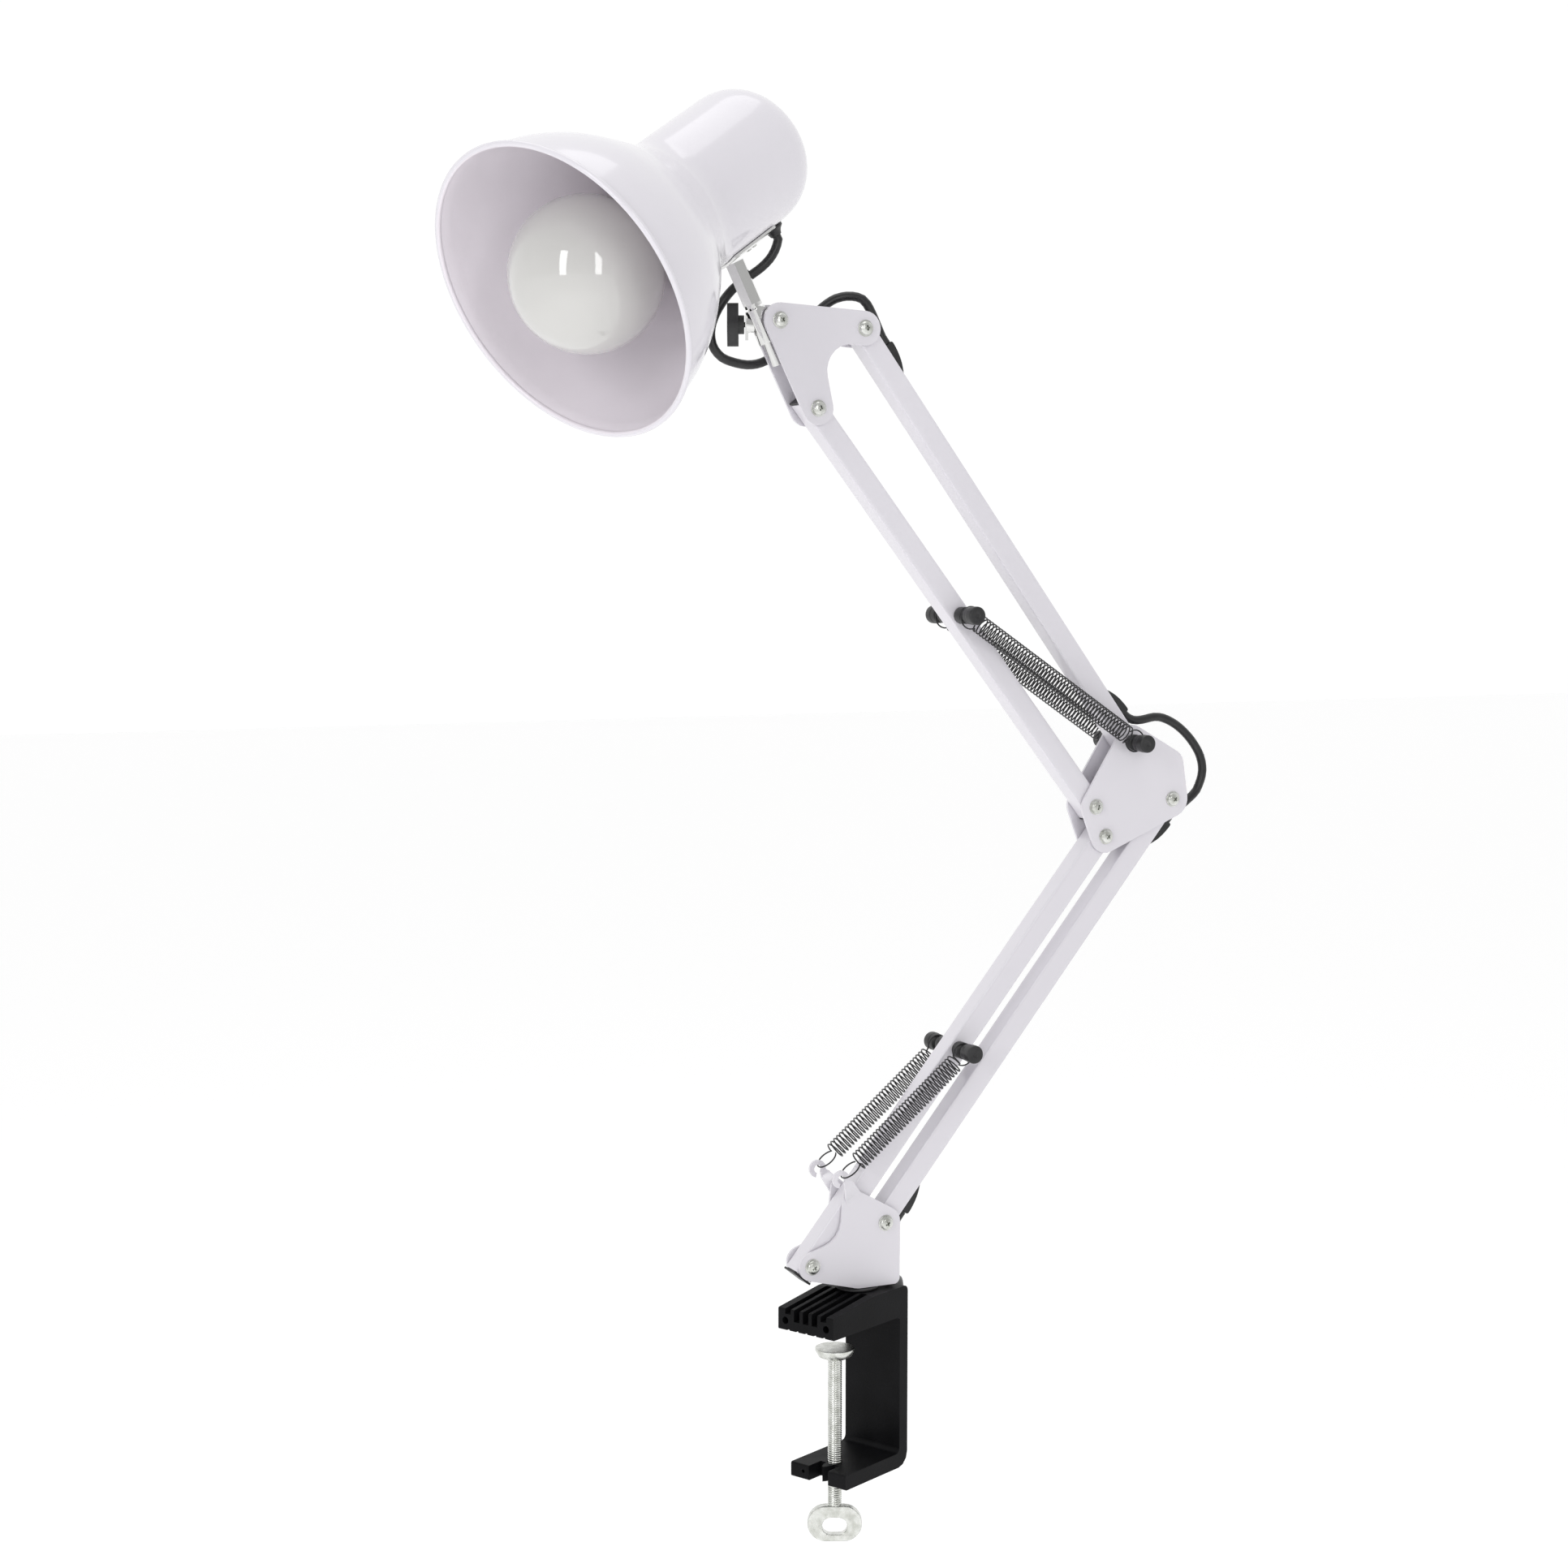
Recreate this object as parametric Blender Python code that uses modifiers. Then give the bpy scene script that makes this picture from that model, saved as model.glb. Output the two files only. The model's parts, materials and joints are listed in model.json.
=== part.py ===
"""Swing arm desk lamp: table clamp, sprung double-bar arm and bell shade. Metres, +Z up.

The arm lies in the XZ plane and the head points along -X. The origin is on the clamp's swivel
axis, in the plane of the upper jaw's underside, which rests on the table top.
"""
import math

import bmesh
import bpy
from mathutils import Matrix, Vector

# Driving dimensions: points of the arm are (x, z) in the arm's plane
BAR = 0.0127
BAR_WALL = 0.0011
PLATE = 0.0016
PLATE_Y = 0.00775
SCREW_RADIUS = 0.002
SCREW_HOLE = 0.0024
LOWER_FRONT = Vector((-0.0317, 0.0339))
LOWER_REAR = Vector((0.0135, 0.0537))
LOWER_SPAN = Vector((0.1867, 0.2292))
ELBOW_FRONT = LOWER_FRONT + LOWER_SPAN
ELBOW_REAR = LOWER_REAR + LOWER_SPAN
UPPER_FRONT = Vector((0.1483, 0.2803))
UPPER_REAR = Vector((0.1720, 0.3166))
HEAD_FRONT = Vector((-0.0287, 0.5013))
HEAD_REAR = Vector((-0.0006, 0.5447))
KNUCKLE = Vector((-0.0512, 0.5471))
LOWER_POST = LOWER_FRONT + 0.494 * LOWER_SPAN
UPPER_POST = UPPER_FRONT + 0.497 * (HEAD_FRONT - UPPER_FRONT)
SPRING_HOOK = Vector((-0.0175, 0.0826))
SPRING_Y = 0.0145
SPRING_RADIUS = 0.0050
CABLE = 0.0050
GAP = 0.0003
BOOT = 0.0052

# Clamp, in its own plane turned about the swivel axis: s runs forwards to the jaws
CLAMP_TURN = math.radians(25)
CLAMP_WIDTH = 0.0384
JAW_FRONT = 0.0455
CLAMP_BACK = -0.0218
COLUMN_FACE = -0.0145
CLAMP_TOP = 0.0169
LOWER_JAW_TOP = -0.0777
LOWER_JAW_BOTTOM = -0.0860
LOWER_JAW_FRONT = 0.0344
ROD_S = 0.0196
ROD_RADIUS = 0.0040
PAD_TOP = -0.0130
PAD_RADIUS = 0.0110
ROD_END = -0.1020
RING_CENTRE = -0.1115

# Head: the shade is turned about an axis from the rim's centre back to the neck
RIM_CENTRE = Vector((-0.1863, -0.0361, 0.5521))
SHADE_AXIS = Vector((0.7933, 0.3114, 0.5233)).normalized()
RIM_RADIUS = 0.0806
NECK_RADIUS = 0.0380
HEAD_LENGTH = 0.1780
SHADE_WALL = 0.0012
BULB_S = 0.0217
BULB_RADIUS = 0.0400
STEM_TOP = Vector((-0.0745, 0.5783))
STEM_DIRECTION = Vector((0.437, -0.899)).normalized()

# Mains lead: a hank hung behind the clamp's column
HANK_CENTRE = Vector((0.0400, 0.0364, -0.0370))
HANK_TURN = math.radians(-25.6)
HANK_HEIGHT = 0.1000
HANK_DEPTH = 0.0600
HANK_WIDTH = 0.0156

WHITE = ((0.80, 0.79, 0.83, 1), 0.25, 0.0)
BLACK = ((0.015, 0.015, 0.016, 1), 0.45, 0.0)
CHROME = ((0.75, 0.76, 0.76, 1), 0.12, 1.0)
ZINC = ((0.62, 0.64, 0.61, 1), 0.25, 1.0)
SPRING_BLACK = ((0.02, 0.02, 0.02, 1), 0.3, 0.6)
OPAL = ((0.92, 0.92, 0.90, 1), 0.08, 0.0)
CERAMIC = ((0.85, 0.84, 0.80, 1), 0.3, 0.0)
BRASS = ((0.75, 0.70, 0.55, 1), 0.2, 1.0)

for old in list(bpy.data.objects):
    bpy.data.objects.remove(old)
parts = bpy.data.collections.new("swing_arm_desk_lamp")
cutters = bpy.data.collections.new("cutters")
bpy.context.scene.collection.children.link(parts)
bpy.context.scene.collection.children.link(cutters)


def unit(angle):
    """Unit (x, z) vector at an angle from +X."""
    return Vector((math.cos(angle), math.sin(angle)))


def in_plane(point, y=0.0):
    """World place of a point of the arm's plane."""
    return Vector((point.x, y, point.y))


def clamp_point(s, side, z):
    """World place of a point given in the clamp's own plane."""
    forward = Vector((-math.cos(CLAMP_TURN), -math.sin(CLAMP_TURN), 0))
    across = Vector((math.sin(CLAMP_TURN), -math.cos(CLAMP_TURN), 0))
    return s * forward + side * across + Vector((0, 0, z))


def clamp_frame_matrix(s=0.0, side=0.0, z=0.0):
    """Local X forwards, local Y to the far side, local Z up, in the clamp's own plane."""
    return Matrix.Translation(clamp_point(s, side, z)) @ Matrix.Rotation(math.pi + CLAMP_TURN, 4, "Z")


def along(direction):
    """Rotation that lays local Z along a direction."""
    return direction.to_track_quat("Z", "Y").to_matrix().to_4x4()


def head_point(s, radius=0.0, angle=0.0):
    """World place at a distance s behind the rim; angle 0 is the underside, over the stem."""
    down = in_plane(STEM_DIRECTION)
    down = (down - down.dot(SHADE_AXIS) * SHADE_AXIS).normalized()
    side = SHADE_AXIS.cross(down)
    out = math.cos(angle) * down + math.sin(angle) * side
    return RIM_CENTRE + s * SHADE_AXIS + radius * out


def head_matrix(s):
    """Local Z back along the shade's axis, local X towards the stem."""
    down = (head_point(0, 1) - RIM_CENTRE).normalized()
    side = SHADE_AXIS.cross(down)
    turn = Matrix((down, side, SHADE_AXIS)).transposed().to_4x4()
    return Matrix.Translation(head_point(s)) @ turn


def material(name, finish):
    colour, roughness, metallic = finish
    made = bpy.data.materials.new(name)
    made.use_nodes = True
    shader = made.node_tree.nodes["Principled BSDF"]
    shader.inputs["Base Color"].default_value = colour
    shader.inputs["Roughness"].default_value = roughness
    shader.inputs["Metallic"].default_value = metallic
    return made


def place(name, mesh, matrix=None, collection=None):
    """A mesh object at a matrix; the place is baked, so modifiers work in true size."""
    made = bpy.data.objects.new(name, mesh)
    (collection or parts).objects.link(made)
    if matrix is not None:
        mesh.transform(matrix)
    return made


def finish(made, look, smooth=True):
    if smooth:
        made.data.shade_smooth()
        made.data.set_sharp_from_angle(angle=math.radians(35))
    made.data.materials.clear()
    made.data.materials.append(material(made.name + "_finish", look))
    return made


def cutter(name, mesh, matrix=None):
    made = place("cut_" + name, mesh, matrix, cutters)
    made.hide_render = True
    made.display_type = "WIRE"
    return made


def combine(target, tools, operation="DIFFERENCE"):
    for tool in tools:
        step = target.modifiers.new(operation.title(), "BOOLEAN")
        step.operation = operation
        step.solver = "EXACT"
        step.object = tool
    return target


def bevel(target, width, segments=2, angle=40):
    step = target.modifiers.new("Edges", "BEVEL")
    step.width = width
    step.segments = segments
    step.limit_method = "ANGLE"
    step.angle_limit = math.radians(angle)
    return target


def box_mesh(size):
    mesh = bpy.data.meshes.new("box")
    build = bmesh.new()
    bmesh.ops.create_cube(build, size=1, matrix=Matrix.Diagonal((*size, 1)))
    build.to_mesh(mesh)
    build.free()
    return mesh


def rod_mesh(radius, length, sides=16, end_radius=None):
    """Cylinder or cone along Z, centred."""
    mesh = bpy.data.meshes.new("rod")
    build = bmesh.new()
    end = radius if end_radius is None else end_radius
    bmesh.ops.create_cone(build, cap_ends=True, segments=sides, radius1=radius, radius2=end, depth=length)
    build.to_mesh(mesh)
    build.free()
    return mesh


def turned_mesh(profile, steps=24):
    """Profile of (radius, height) points down the outer side, turned about Z."""
    mesh = bpy.data.meshes.new("profile")
    build = bmesh.new()
    row = [build.verts.new((radius, 0, height)) for radius, height in profile]
    for first, second in zip(row, row[1:]):
        build.edges.new((first, second))
    build.to_mesh(mesh)
    build.free()
    made = bpy.data.objects.new("turning", mesh)
    bpy.context.scene.collection.objects.link(made)
    screw = made.modifiers.new("Turn", "SCREW")
    screw.steps = steps
    screw.render_steps = steps
    screw.use_merge_vertices = True
    screw.merge_threshold = 0.00001
    return baked(made)


def baked(made):
    """The evaluated mesh of an object, which is then removed."""
    bpy.context.view_layer.update()
    evaluated = made.evaluated_get(bpy.context.evaluated_depsgraph_get())
    mesh = bpy.data.meshes.new_from_object(evaluated)
    mesh.transform(made.matrix_world)
    bpy.data.objects.remove(made)
    weld = bmesh.new()
    weld.from_mesh(mesh)
    bmesh.ops.remove_doubles(weld, verts=weld.verts, dist=0.000005)
    bmesh.ops.recalc_face_normals(weld, faces=weld.faces)
    weld.to_mesh(mesh)
    weld.free()
    return mesh


def flat_mesh(outlines, thickness):
    """Plate in the XY plane from outlines; the later ones are holes."""
    curve = bpy.data.curves.new("outline", "CURVE")
    curve.dimensions = "2D"
    curve.fill_mode = "BOTH"
    curve.extrude = thickness / 2
    for outline in outlines:
        spline = curve.splines.new("POLY")
        spline.points.add(len(outline) - 1)
        spline.use_cyclic_u = True
        for knot, point in zip(spline.points, outline):
            knot.co = (point[0], point[1], 0, 1)
    made = bpy.data.objects.new("outline", curve)
    bpy.context.scene.collection.objects.link(made)
    return baked(made)


def pipe_mesh(points, radius, sides=2):
    curve = bpy.data.curves.new("route", "CURVE")
    curve.dimensions = "3D"
    curve.bevel_depth = radius
    curve.bevel_resolution = sides
    curve.use_fill_caps = True
    spline = curve.splines.new("POLY")
    spline.points.add(len(points) - 1)
    for knot, point in zip(spline.points, points):
        knot.co = (*point, 1)
    made = bpy.data.objects.new("route", curve)
    bpy.context.scene.collection.objects.link(made)
    return baked(made)


def smooth_route(route, spacing):
    """Points about a spacing apart on a smooth curve; the first and last stretches stay straight."""
    fine = []
    for before, start, stop, after in zip(route, route[1:], route[2:], route[3:]):
        for step in range(12):
            t = step / 12
            bend = 2 * start + (stop - before) * t
            bend += (2 * before - 5 * start + 4 * stop - after) * t * t
            bend += (3 * start - before - 3 * stop + after) * t ** 3
            fine.append(bend / 2)
    fine.append(route[-2])
    total = sum((b - a).length for a, b in zip(fine, fine[1:]))
    count = max(2, round(total / spacing))
    picked = [fine[0]]
    walked = 0.0
    for first, second in zip(fine, fine[1:]):
        walked += (second - first).length
        if walked >= len(picked) * total / count and len(picked) < count:
            picked.append(second)
    return [route[0], *picked, route[-2], route[-1]]


def circle(centre, radius, count=20):
    return [centre + radius * unit(2 * math.pi * step / count) for step in range(count)]


def belt(pulleys, step=math.radians(15)):
    """Outline of a belt round (centre, radius) discs, anticlockwise; a negative radius is a hollow."""
    normals = []
    for (first, size), (second, next_size) in zip(pulleys, pulleys[1:] + pulleys[:1]):
        run = second - first
        heading = math.atan2(run.y, run.x)
        normals.append(heading - math.acos((size - next_size) / run.length))
    outline = []
    for index, (centre, size) in enumerate(pulleys):
        start = normals[index - 1]
        sweep = (normals[index] - start) % (2 * math.pi)
        if size < 0:
            sweep -= 2 * math.pi
        count = max(1, round(abs(sweep) / step))
        outline += [centre + size * unit(start + sweep * turn / count) for turn in range(count + 1)]
    return outline


def upright_plate(name, outlines, thickness, y, look):
    """Plate in the arm's plane at a distance y from it."""
    turn = Matrix.Translation((0, y, 0)) @ Matrix.Rotation(math.pi / 2, 4, "X")
    return finish(place(name, flat_mesh(outlines, thickness), turn), look)


def across_matrix(point, y=0.0):
    """Local Z along +Y at a point of the arm's plane."""
    return Matrix.Translation(in_plane(point, y)) @ Matrix.Rotation(-math.pi / 2, 4, "X")


def carry(name, point, y, pieces, parent=None):
    """An empty on a joint's axis that carries its pieces."""
    pivot = bpy.data.objects.new(name, None)
    parts.objects.link(pivot)
    pivot.empty_display_size = 0.02
    pivot.location = in_plane(point, y) if len(point) == 2 else point
    bpy.context.view_layer.update()
    for piece in pieces:
        piece.parent = pivot
        piece.matrix_parent_inverse = pivot.matrix_world.inverted()
    if parent:
        pivot.parent = parent
        pivot.matrix_parent_inverse = parent.matrix_world.inverted()
    return pivot


# ---------------------------------------------------------------- clamp

def make_clamp_frame():
    """C-shaped casting with a ribbed upper jaw, holes in both jaws and a flat seat for the swivel."""
    profile = belt([
        (Vector((CLAMP_BACK + 0.003, CLAMP_TOP - 0.003)), 0.003),
        (Vector((CLAMP_BACK + 0.008, LOWER_JAW_BOTTOM + 0.008)), 0.008),
        (Vector((LOWER_JAW_FRONT - 0.001, LOWER_JAW_BOTTOM + 0.001)), 0.001),
        (Vector((LOWER_JAW_FRONT - 0.001, LOWER_JAW_TOP - 0.001)), 0.001),
        (Vector((COLUMN_FACE + 0.003, LOWER_JAW_TOP + 0.003)), -0.003),
        (Vector((COLUMN_FACE + 0.0015, -0.0015)), -0.0015),
        (Vector((JAW_FRONT - 0.0008, 0.0008)), 0.0008),
        (Vector((JAW_FRONT - 0.0008, 0.0114)), 0.0008),
        (Vector((0.010, CLAMP_TOP - 0.002)), 0.002),
    ], math.radians(30))
    stand = clamp_frame_matrix() @ Matrix.Rotation(math.pi / 2, 4, "X")
    frame = place("clamp_frame", flat_mesh([profile], CLAMP_WIDTH), stand)
    tools = [
        cutter("rod_hole", rod_mesh(ROD_RADIUS + GAP, 0.02), clamp_frame_matrix(ROD_S, 0, LOWER_JAW_TOP)),
        cutter("swivel_hole", rod_mesh(0.0043, 0.028), clamp_frame_matrix(0, 0, CLAMP_TOP)),
    ]
    slot_pitch = 0.0062
    for index in range(5):
        floor = 0.0092 if index in (0, 4) else 0.0056
        slot = box_mesh((0.040, 0.0039, 0.0200 - floor))
        side = (index - 2) * slot_pitch
        tools.append(cutter(f"rib_slot_{index}", slot, clamp_frame_matrix(0.0285, side, (0.0200 + floor) / 2)))
        groove = box_mesh((0.034, 0.0022, 0.0016))
        tools.append(cutter(f"grip_groove_{index}", groove, clamp_frame_matrix(0.0290, side, 0)))
    lie = Matrix.Rotation(math.pi / 2, 4, "Y")
    for index, side in enumerate((-0.0142, 0.0142)):
        matrix = clamp_frame_matrix(JAW_FRONT, side, 0.0055) @ lie
        tools.append(cutter(f"upper_hole_{index}", rod_mesh(0.0021, 0.016, 14), matrix))
    for index, side in enumerate((-0.0105, 0.0060)):
        matrix = clamp_frame_matrix(LOWER_JAW_FRONT, side, -0.0815) @ lie
        tools.append(cutter(f"lower_hole_{index}", rod_mesh(0.0010, 0.010, 10), matrix))
    corner = 0.011
    centre = Vector((0, 0))
    outline = [Vector((0.004, 0.004)) + Vector((corner, corner)), Vector((0, corner + 0.004))]
    outline += [centre + corner * unit(math.radians(90 - 15 * turn)) for turn in range(7)]
    outline += [Vector((corner + 0.004, 0))]
    for index, side in enumerate((-1, 1)):
        mirror = Matrix.Diagonal((1, -side, 1, 1))
        shape = flat_mesh([outline], 0.03)
        shape.transform(mirror)
        if side > 0:
            shape.flip_normals()
        spot = clamp_frame_matrix(LOWER_JAW_FRONT - corner, side * (CLAMP_WIDTH / 2 - corner), -0.082)
        tools.append(cutter(f"jaw_corner_{index}", shape, spot))
    return finish(combine(frame, tools), BLACK)


def make_swivel():
    """Flat washer on the clamp, and the pin that the bracket turns on."""
    washer = place("swivel_washer", turned_mesh([
        (0.0043, 0.0182), (0.0120, 0.0182), (0.0120, 0.0172), (0.0043, 0.0172), (0.0043, 0.0182)]))
    pin = place("swivel_pin", turned_mesh([
        (0, 0.0242), (0.0058, 0.0242), (0.0066, 0.0234), (0.0066, 0.0204),
        (0.0040, 0.0204), (0.0040, 0.0045), (0.0034, 0.0036), (0, 0.0036)]))
    return finish(washer, ZINC), finish(pin, ZINC)


def make_clamp_screw():
    """Threaded rod with a thumb ring below and a swivelling pad on top."""
    pad_floor = PAD_TOP - 0.0050
    rod = place("clamp_screw", turned_mesh([
        (0, pad_floor - GAP), (0.0036, pad_floor - GAP), (ROD_RADIUS, pad_floor - 0.0008),
        (ROD_RADIUS, ROD_END), (0, ROD_END)]), clamp_frame_matrix(ROD_S))
    pad = place("pressure_pad", turned_mesh([
        (0, PAD_TOP), (PAD_RADIUS, PAD_TOP), (PAD_RADIUS, PAD_TOP - 0.0012),
        (0.0092, PAD_TOP - 0.0044), (0.0055, PAD_TOP - 0.0062), (0.0044, PAD_TOP - 0.0062),
        (0.0044, pad_floor), (0, pad_floor)]), clamp_frame_matrix(ROD_S))
    half = Vector((0.0052, 0))
    outline = belt([(-half, 0.0100), (half, 0.0100)])
    hole = belt([(Vector((-0.0022, -0.0014)), 0.0048), (Vector((0.0022, -0.0014)), 0.0048)])
    turn = Matrix.Rotation(HANK_TURN, 4, "Z") @ Matrix.Rotation(math.pi / 2, 4, "X")
    spot = Matrix.Translation(clamp_point(ROD_S, 0, RING_CENTRE - 0.0008))
    ring = place("thumb_ring", flat_mesh([outline, hole], 0.0052), spot @ turn)
    return finish(rod, ZINC), finish(pad, ZINC), finish(bevel(ring, 0.0008, 1), ZINC)


# ---------------------------------------------------------------- base bracket

def tab_mesh(side):
    """Strip that leans outwards from a side plate's top edge to its spring hook."""
    across = Vector((0.788, 0.616))
    stations = [(Vector((-0.0146, 0.0818)), SPRING_Y, 0.0014), (Vector((-0.0126, 0.0789)), SPRING_Y, 0.0030),
                (Vector((-0.0075, 0.0712)), PLATE_Y + 0.0006, 0.0050), (Vector((-0.0060, 0.0690)), PLATE_Y, 0.0050)]
    mesh = bpy.data.meshes.new("tab")
    build = bmesh.new()
    rows = []
    for centre, y, half in stations:
        corners = ((-half, -PLATE / 2), (half, -PLATE / 2), (half, PLATE / 2), (-half, PLATE / 2))
        rows.append([build.verts.new(in_plane(centre + reach * across, side * (y + thick)))
                     for reach, thick in corners])
    for first, second in zip(rows, rows[1:]):
        for k in range(4):
            build.faces.new((first[k], first[(k + 1) % 4], second[(k + 1) % 4], second[k]))
    build.faces.new(rows[0])
    build.faces.new(rows[-1])
    bmesh.ops.recalc_face_normals(build, faces=build.faces[:])
    build.to_mesh(mesh)
    build.free()
    return mesh


def make_base_bracket():
    """Folded sheet: two side plates, a floor, a rear web and two spring hooks bent outwards."""
    side_outline = belt([
        (LOWER_FRONT, 0.0080),
        (Vector((-0.0030, 0.0225)), 0.0040),
        (Vector((0.0190, 0.0219)), 0.0034),
        (LOWER_REAR, 0.0091),
        (Vector((-0.0095, 0.0735)), 0.0030),
        (Vector((-0.0285, 0.0585)), -0.0145),
    ])
    holes = [circle(LOWER_FRONT, SCREW_HOLE, 14), circle(LOWER_REAR, SCREW_HOLE, 14)]
    body = upright_plate("base_bracket", [side_outline, *holes], PLATE, -PLATE_Y, WHITE)
    turn = Matrix.Rotation(math.pi / 2, 4, "X")
    far = cutter("far_side", flat_mesh([side_outline, *holes], PLATE), Matrix.Translation((0, PLATE_Y, 0)) @ turn)
    floor = cutter("floor", box_mesh((0.0255, 0.0150, PLATE)), Matrix.Translation((0.0075, 0, 0.0193)))
    web = cutter("web", box_mesh((PLATE, 0.0150, 0.0200)), Matrix.Translation((0.0214, 0, 0.0305)))
    tools = [far, floor, web]
    for name, side in (("near", -1), ("far", 1)):
        ring = [SPRING_HOOK + 0.0050 * unit(math.radians(-25 + 20 * turn)) for turn in range(15)]
        ring += [SPRING_HOOK + 0.0023 * unit(math.radians(255 - 20 * turn)) for turn in range(15)]
        matrix = Matrix.Translation((0, side * SPRING_Y, 0)) @ turn
        tools.append(cutter(f"hook_{name}", flat_mesh([ring], PLATE), matrix))
        tools.append(cutter(f"tab_{name}", tab_mesh(side)))
    pin_hole = cutter("pin_hole", rod_mesh(0.0044, 0.006), Matrix.Translation((0, 0, 0.0193)))
    combine(body, tools, "UNION")
    return combine(body, [pin_hole])


# ---------------------------------------------------------------- bars, caps, hoods, posts

def make_bar(name, start, stop, before, after, holes, slots=()):
    """Square tube between two pivots that runs on past each; holes cross it and slots are behind."""
    direction = (stop - start).normalized()
    length = (stop - start).length + before + after
    half = BAR / 2
    inner = half - BAR_WALL
    corner = 0.0012
    outer_line = belt([(Vector((x, y)) * (half - corner), corner)
                       for x, y in ((-1, -1), (1, -1), (1, 1), (-1, 1))], math.radians(45))
    inner_line = [Vector((x, y)) * inner for x, y in ((-1, -1), (1, -1), (1, 1), (-1, 1))]
    middle = (start - before * direction + stop + after * direction) / 2
    matrix = Matrix.Translation(in_plane(middle)) @ along(in_plane(direction))
    bar = place(name, flat_mesh([outer_line, inner_line], length), matrix)
    tools = []
    for index, (point, radius) in enumerate(holes):
        tools.append(cutter(f"{name}_hole_{index}", rod_mesh(radius, 0.03, 16), across_matrix(point)))
    for index, (point, tilt) in enumerate(slots):
        matrix = Matrix.Translation(in_plane(point)) @ Matrix.Rotation(-tilt, 4, "Y")
        tools.append(cutter(f"{name}_slot_{index}", box_mesh((0.0110, 0.0058, 0.0060)), matrix))
    return finish(combine(bar, tools), WHITE)


def make_end_cap(name, end, outwards):
    """Plastic plug: a square flange outside and a spigot inside the tube."""
    half = BAR / 2
    inner = half - BAR_WALL - GAP
    direction = in_plane(outwards)
    matrix = Matrix.Translation(in_plane(end + (GAP + 0.0006) * outwards)) @ along(direction)
    cap = place(name, box_mesh((BAR, BAR, 0.0012)), matrix)
    spigot = Matrix.Translation(in_plane(end - 0.0004 * outwards)) @ along(direction)
    plug = cutter(f"{name}_spigot", box_mesh((2 * inner, 2 * inner, 0.0020)), spigot)
    return finish(combine(cap, [plug], "UNION"), BLACK)


def make_cable_hood(name, pivot, direction, rear, start, mirror):
    """Wedge-shaped strain relief on a bar's rear face; its tall end meets the cable."""
    profile = [(0, GAP), (0.0185, GAP), (0.0185, 0.0008), (0.0120, 0.0046), (0, 0.0056)]
    base = pivot + start * direction + (BAR / 2) * rear
    outline = [base + run * direction + rise * rear for run, rise in profile]
    if mirror:
        outline.reverse()
    return upright_plate(name, [outline], 0.0064, 0, BLACK)


def make_post(name, point, face):
    """Two plastic halves, each a collar, a groove for the spring's loop and a cap."""
    made = []
    for side, label in ((-1, "near"), (1, "far")):
        shaft = 0.0019 if side < 0 else -0.0023
        profile = [
            (0, 0.0258), (0.0044, 0.0258), (0.0051, 0.0250), (0.0051, 0.0205), (0.0048, 0.0200),
            (0.0048, 0.0162), (0.0034, 0.0158), (0.0034, 0.0132), (0.0046, 0.0128),
            (0.0046, face + GAP), (SCREW_RADIUS, face + GAP), (SCREW_RADIUS, -shaft), (0, -shaft)]
        tilt = Matrix.Rotation(-side * math.pi / 2, 4, "X")
        matrix = Matrix.Translation(in_plane(point)) @ tilt
        made.append(finish(place(f"{name}_{label}", turned_mesh(profile, 18), matrix), BLACK))
    return made


def make_bolt(name, point):
    """Pan-head screw through both plates with its nut on the far side."""
    face = PLATE_Y + PLATE / 2
    profile = [
        (0, face + 0.0028), (0.0014, face + 0.0028), (0.0029, face + 0.0022),
        (0.0037, face + 0.0010), (0.0037, face + GAP), (SCREW_RADIUS, face + GAP),
        (SCREW_RADIUS, -face - GAP), (0.0036, -face - GAP), (0.0036, -face - 0.0030),
        (SCREW_RADIUS, -face - 0.0030), (SCREW_RADIUS, -face - 0.0040), (0, -face - 0.0040)]
    matrix = Matrix.Translation(in_plane(point)) @ Matrix.Rotation(math.pi / 2, 4, "X")
    return finish(place(name, turned_mesh(profile, 12), matrix), ZINC)


def make_spring(name, hook, post, side):
    """Outer shape of an extension spring between its two end loops."""
    run = (post - hook).normalized()
    start = hook + 0.0125 * run
    stop = post - 0.0095 * run
    middle = in_plane((start + stop) / 2, side * SPRING_Y)
    matrix = Matrix.Translation(middle) @ along(in_plane(run))
    return finish(place(name, rod_mesh(SPRING_RADIUS, (stop - start).length, 12), matrix), SPRING_BLACK)


# ---------------------------------------------------------------- plates

def make_plates(name, pulleys, points):
    outline = belt(pulleys)
    holes = [circle(point, SCREW_HOLE, 14) for point in points]
    near = upright_plate(f"{name}_near", [outline, *holes], PLATE, -PLATE_Y, WHITE)
    far = upright_plate(f"{name}_far", [outline, *holes], PLATE, PLATE_Y, WHITE)
    return near, far


# ---------------------------------------------------------------- knuckle, stem and head

def stem_point(distance, out=0.0):
    """Point of the arm's plane down the stem from its top, and out towards the front."""
    across = Vector((STEM_DIRECTION.y, -STEM_DIRECTION.x))
    return STEM_TOP + distance * STEM_DIRECTION + out * across


def make_stem():
    """Six-sided tube under the neck with a collar and a thinner pin below it."""
    top = 0.0012
    profile_top = rod_mesh(0.0056, 0.0236, 6)
    down = in_plane(STEM_DIRECTION)
    stem = place("stem", profile_top, Matrix.Translation(in_plane(stem_point(top + 0.0118))) @ along(down))
    collar = cutter("stem_collar", rod_mesh(0.0049, 0.0020, 16),
                    Matrix.Translation(in_plane(stem_point(top + 0.0244))) @ along(down))
    pin = cutter("stem_pin", rod_mesh(0.0033, 0.0350, 12),
                 Matrix.Translation(in_plane(stem_point(top + 0.0412))) @ along(down))
    return finish(combine(stem, [collar, pin], "UNION"), CHROME)


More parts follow.
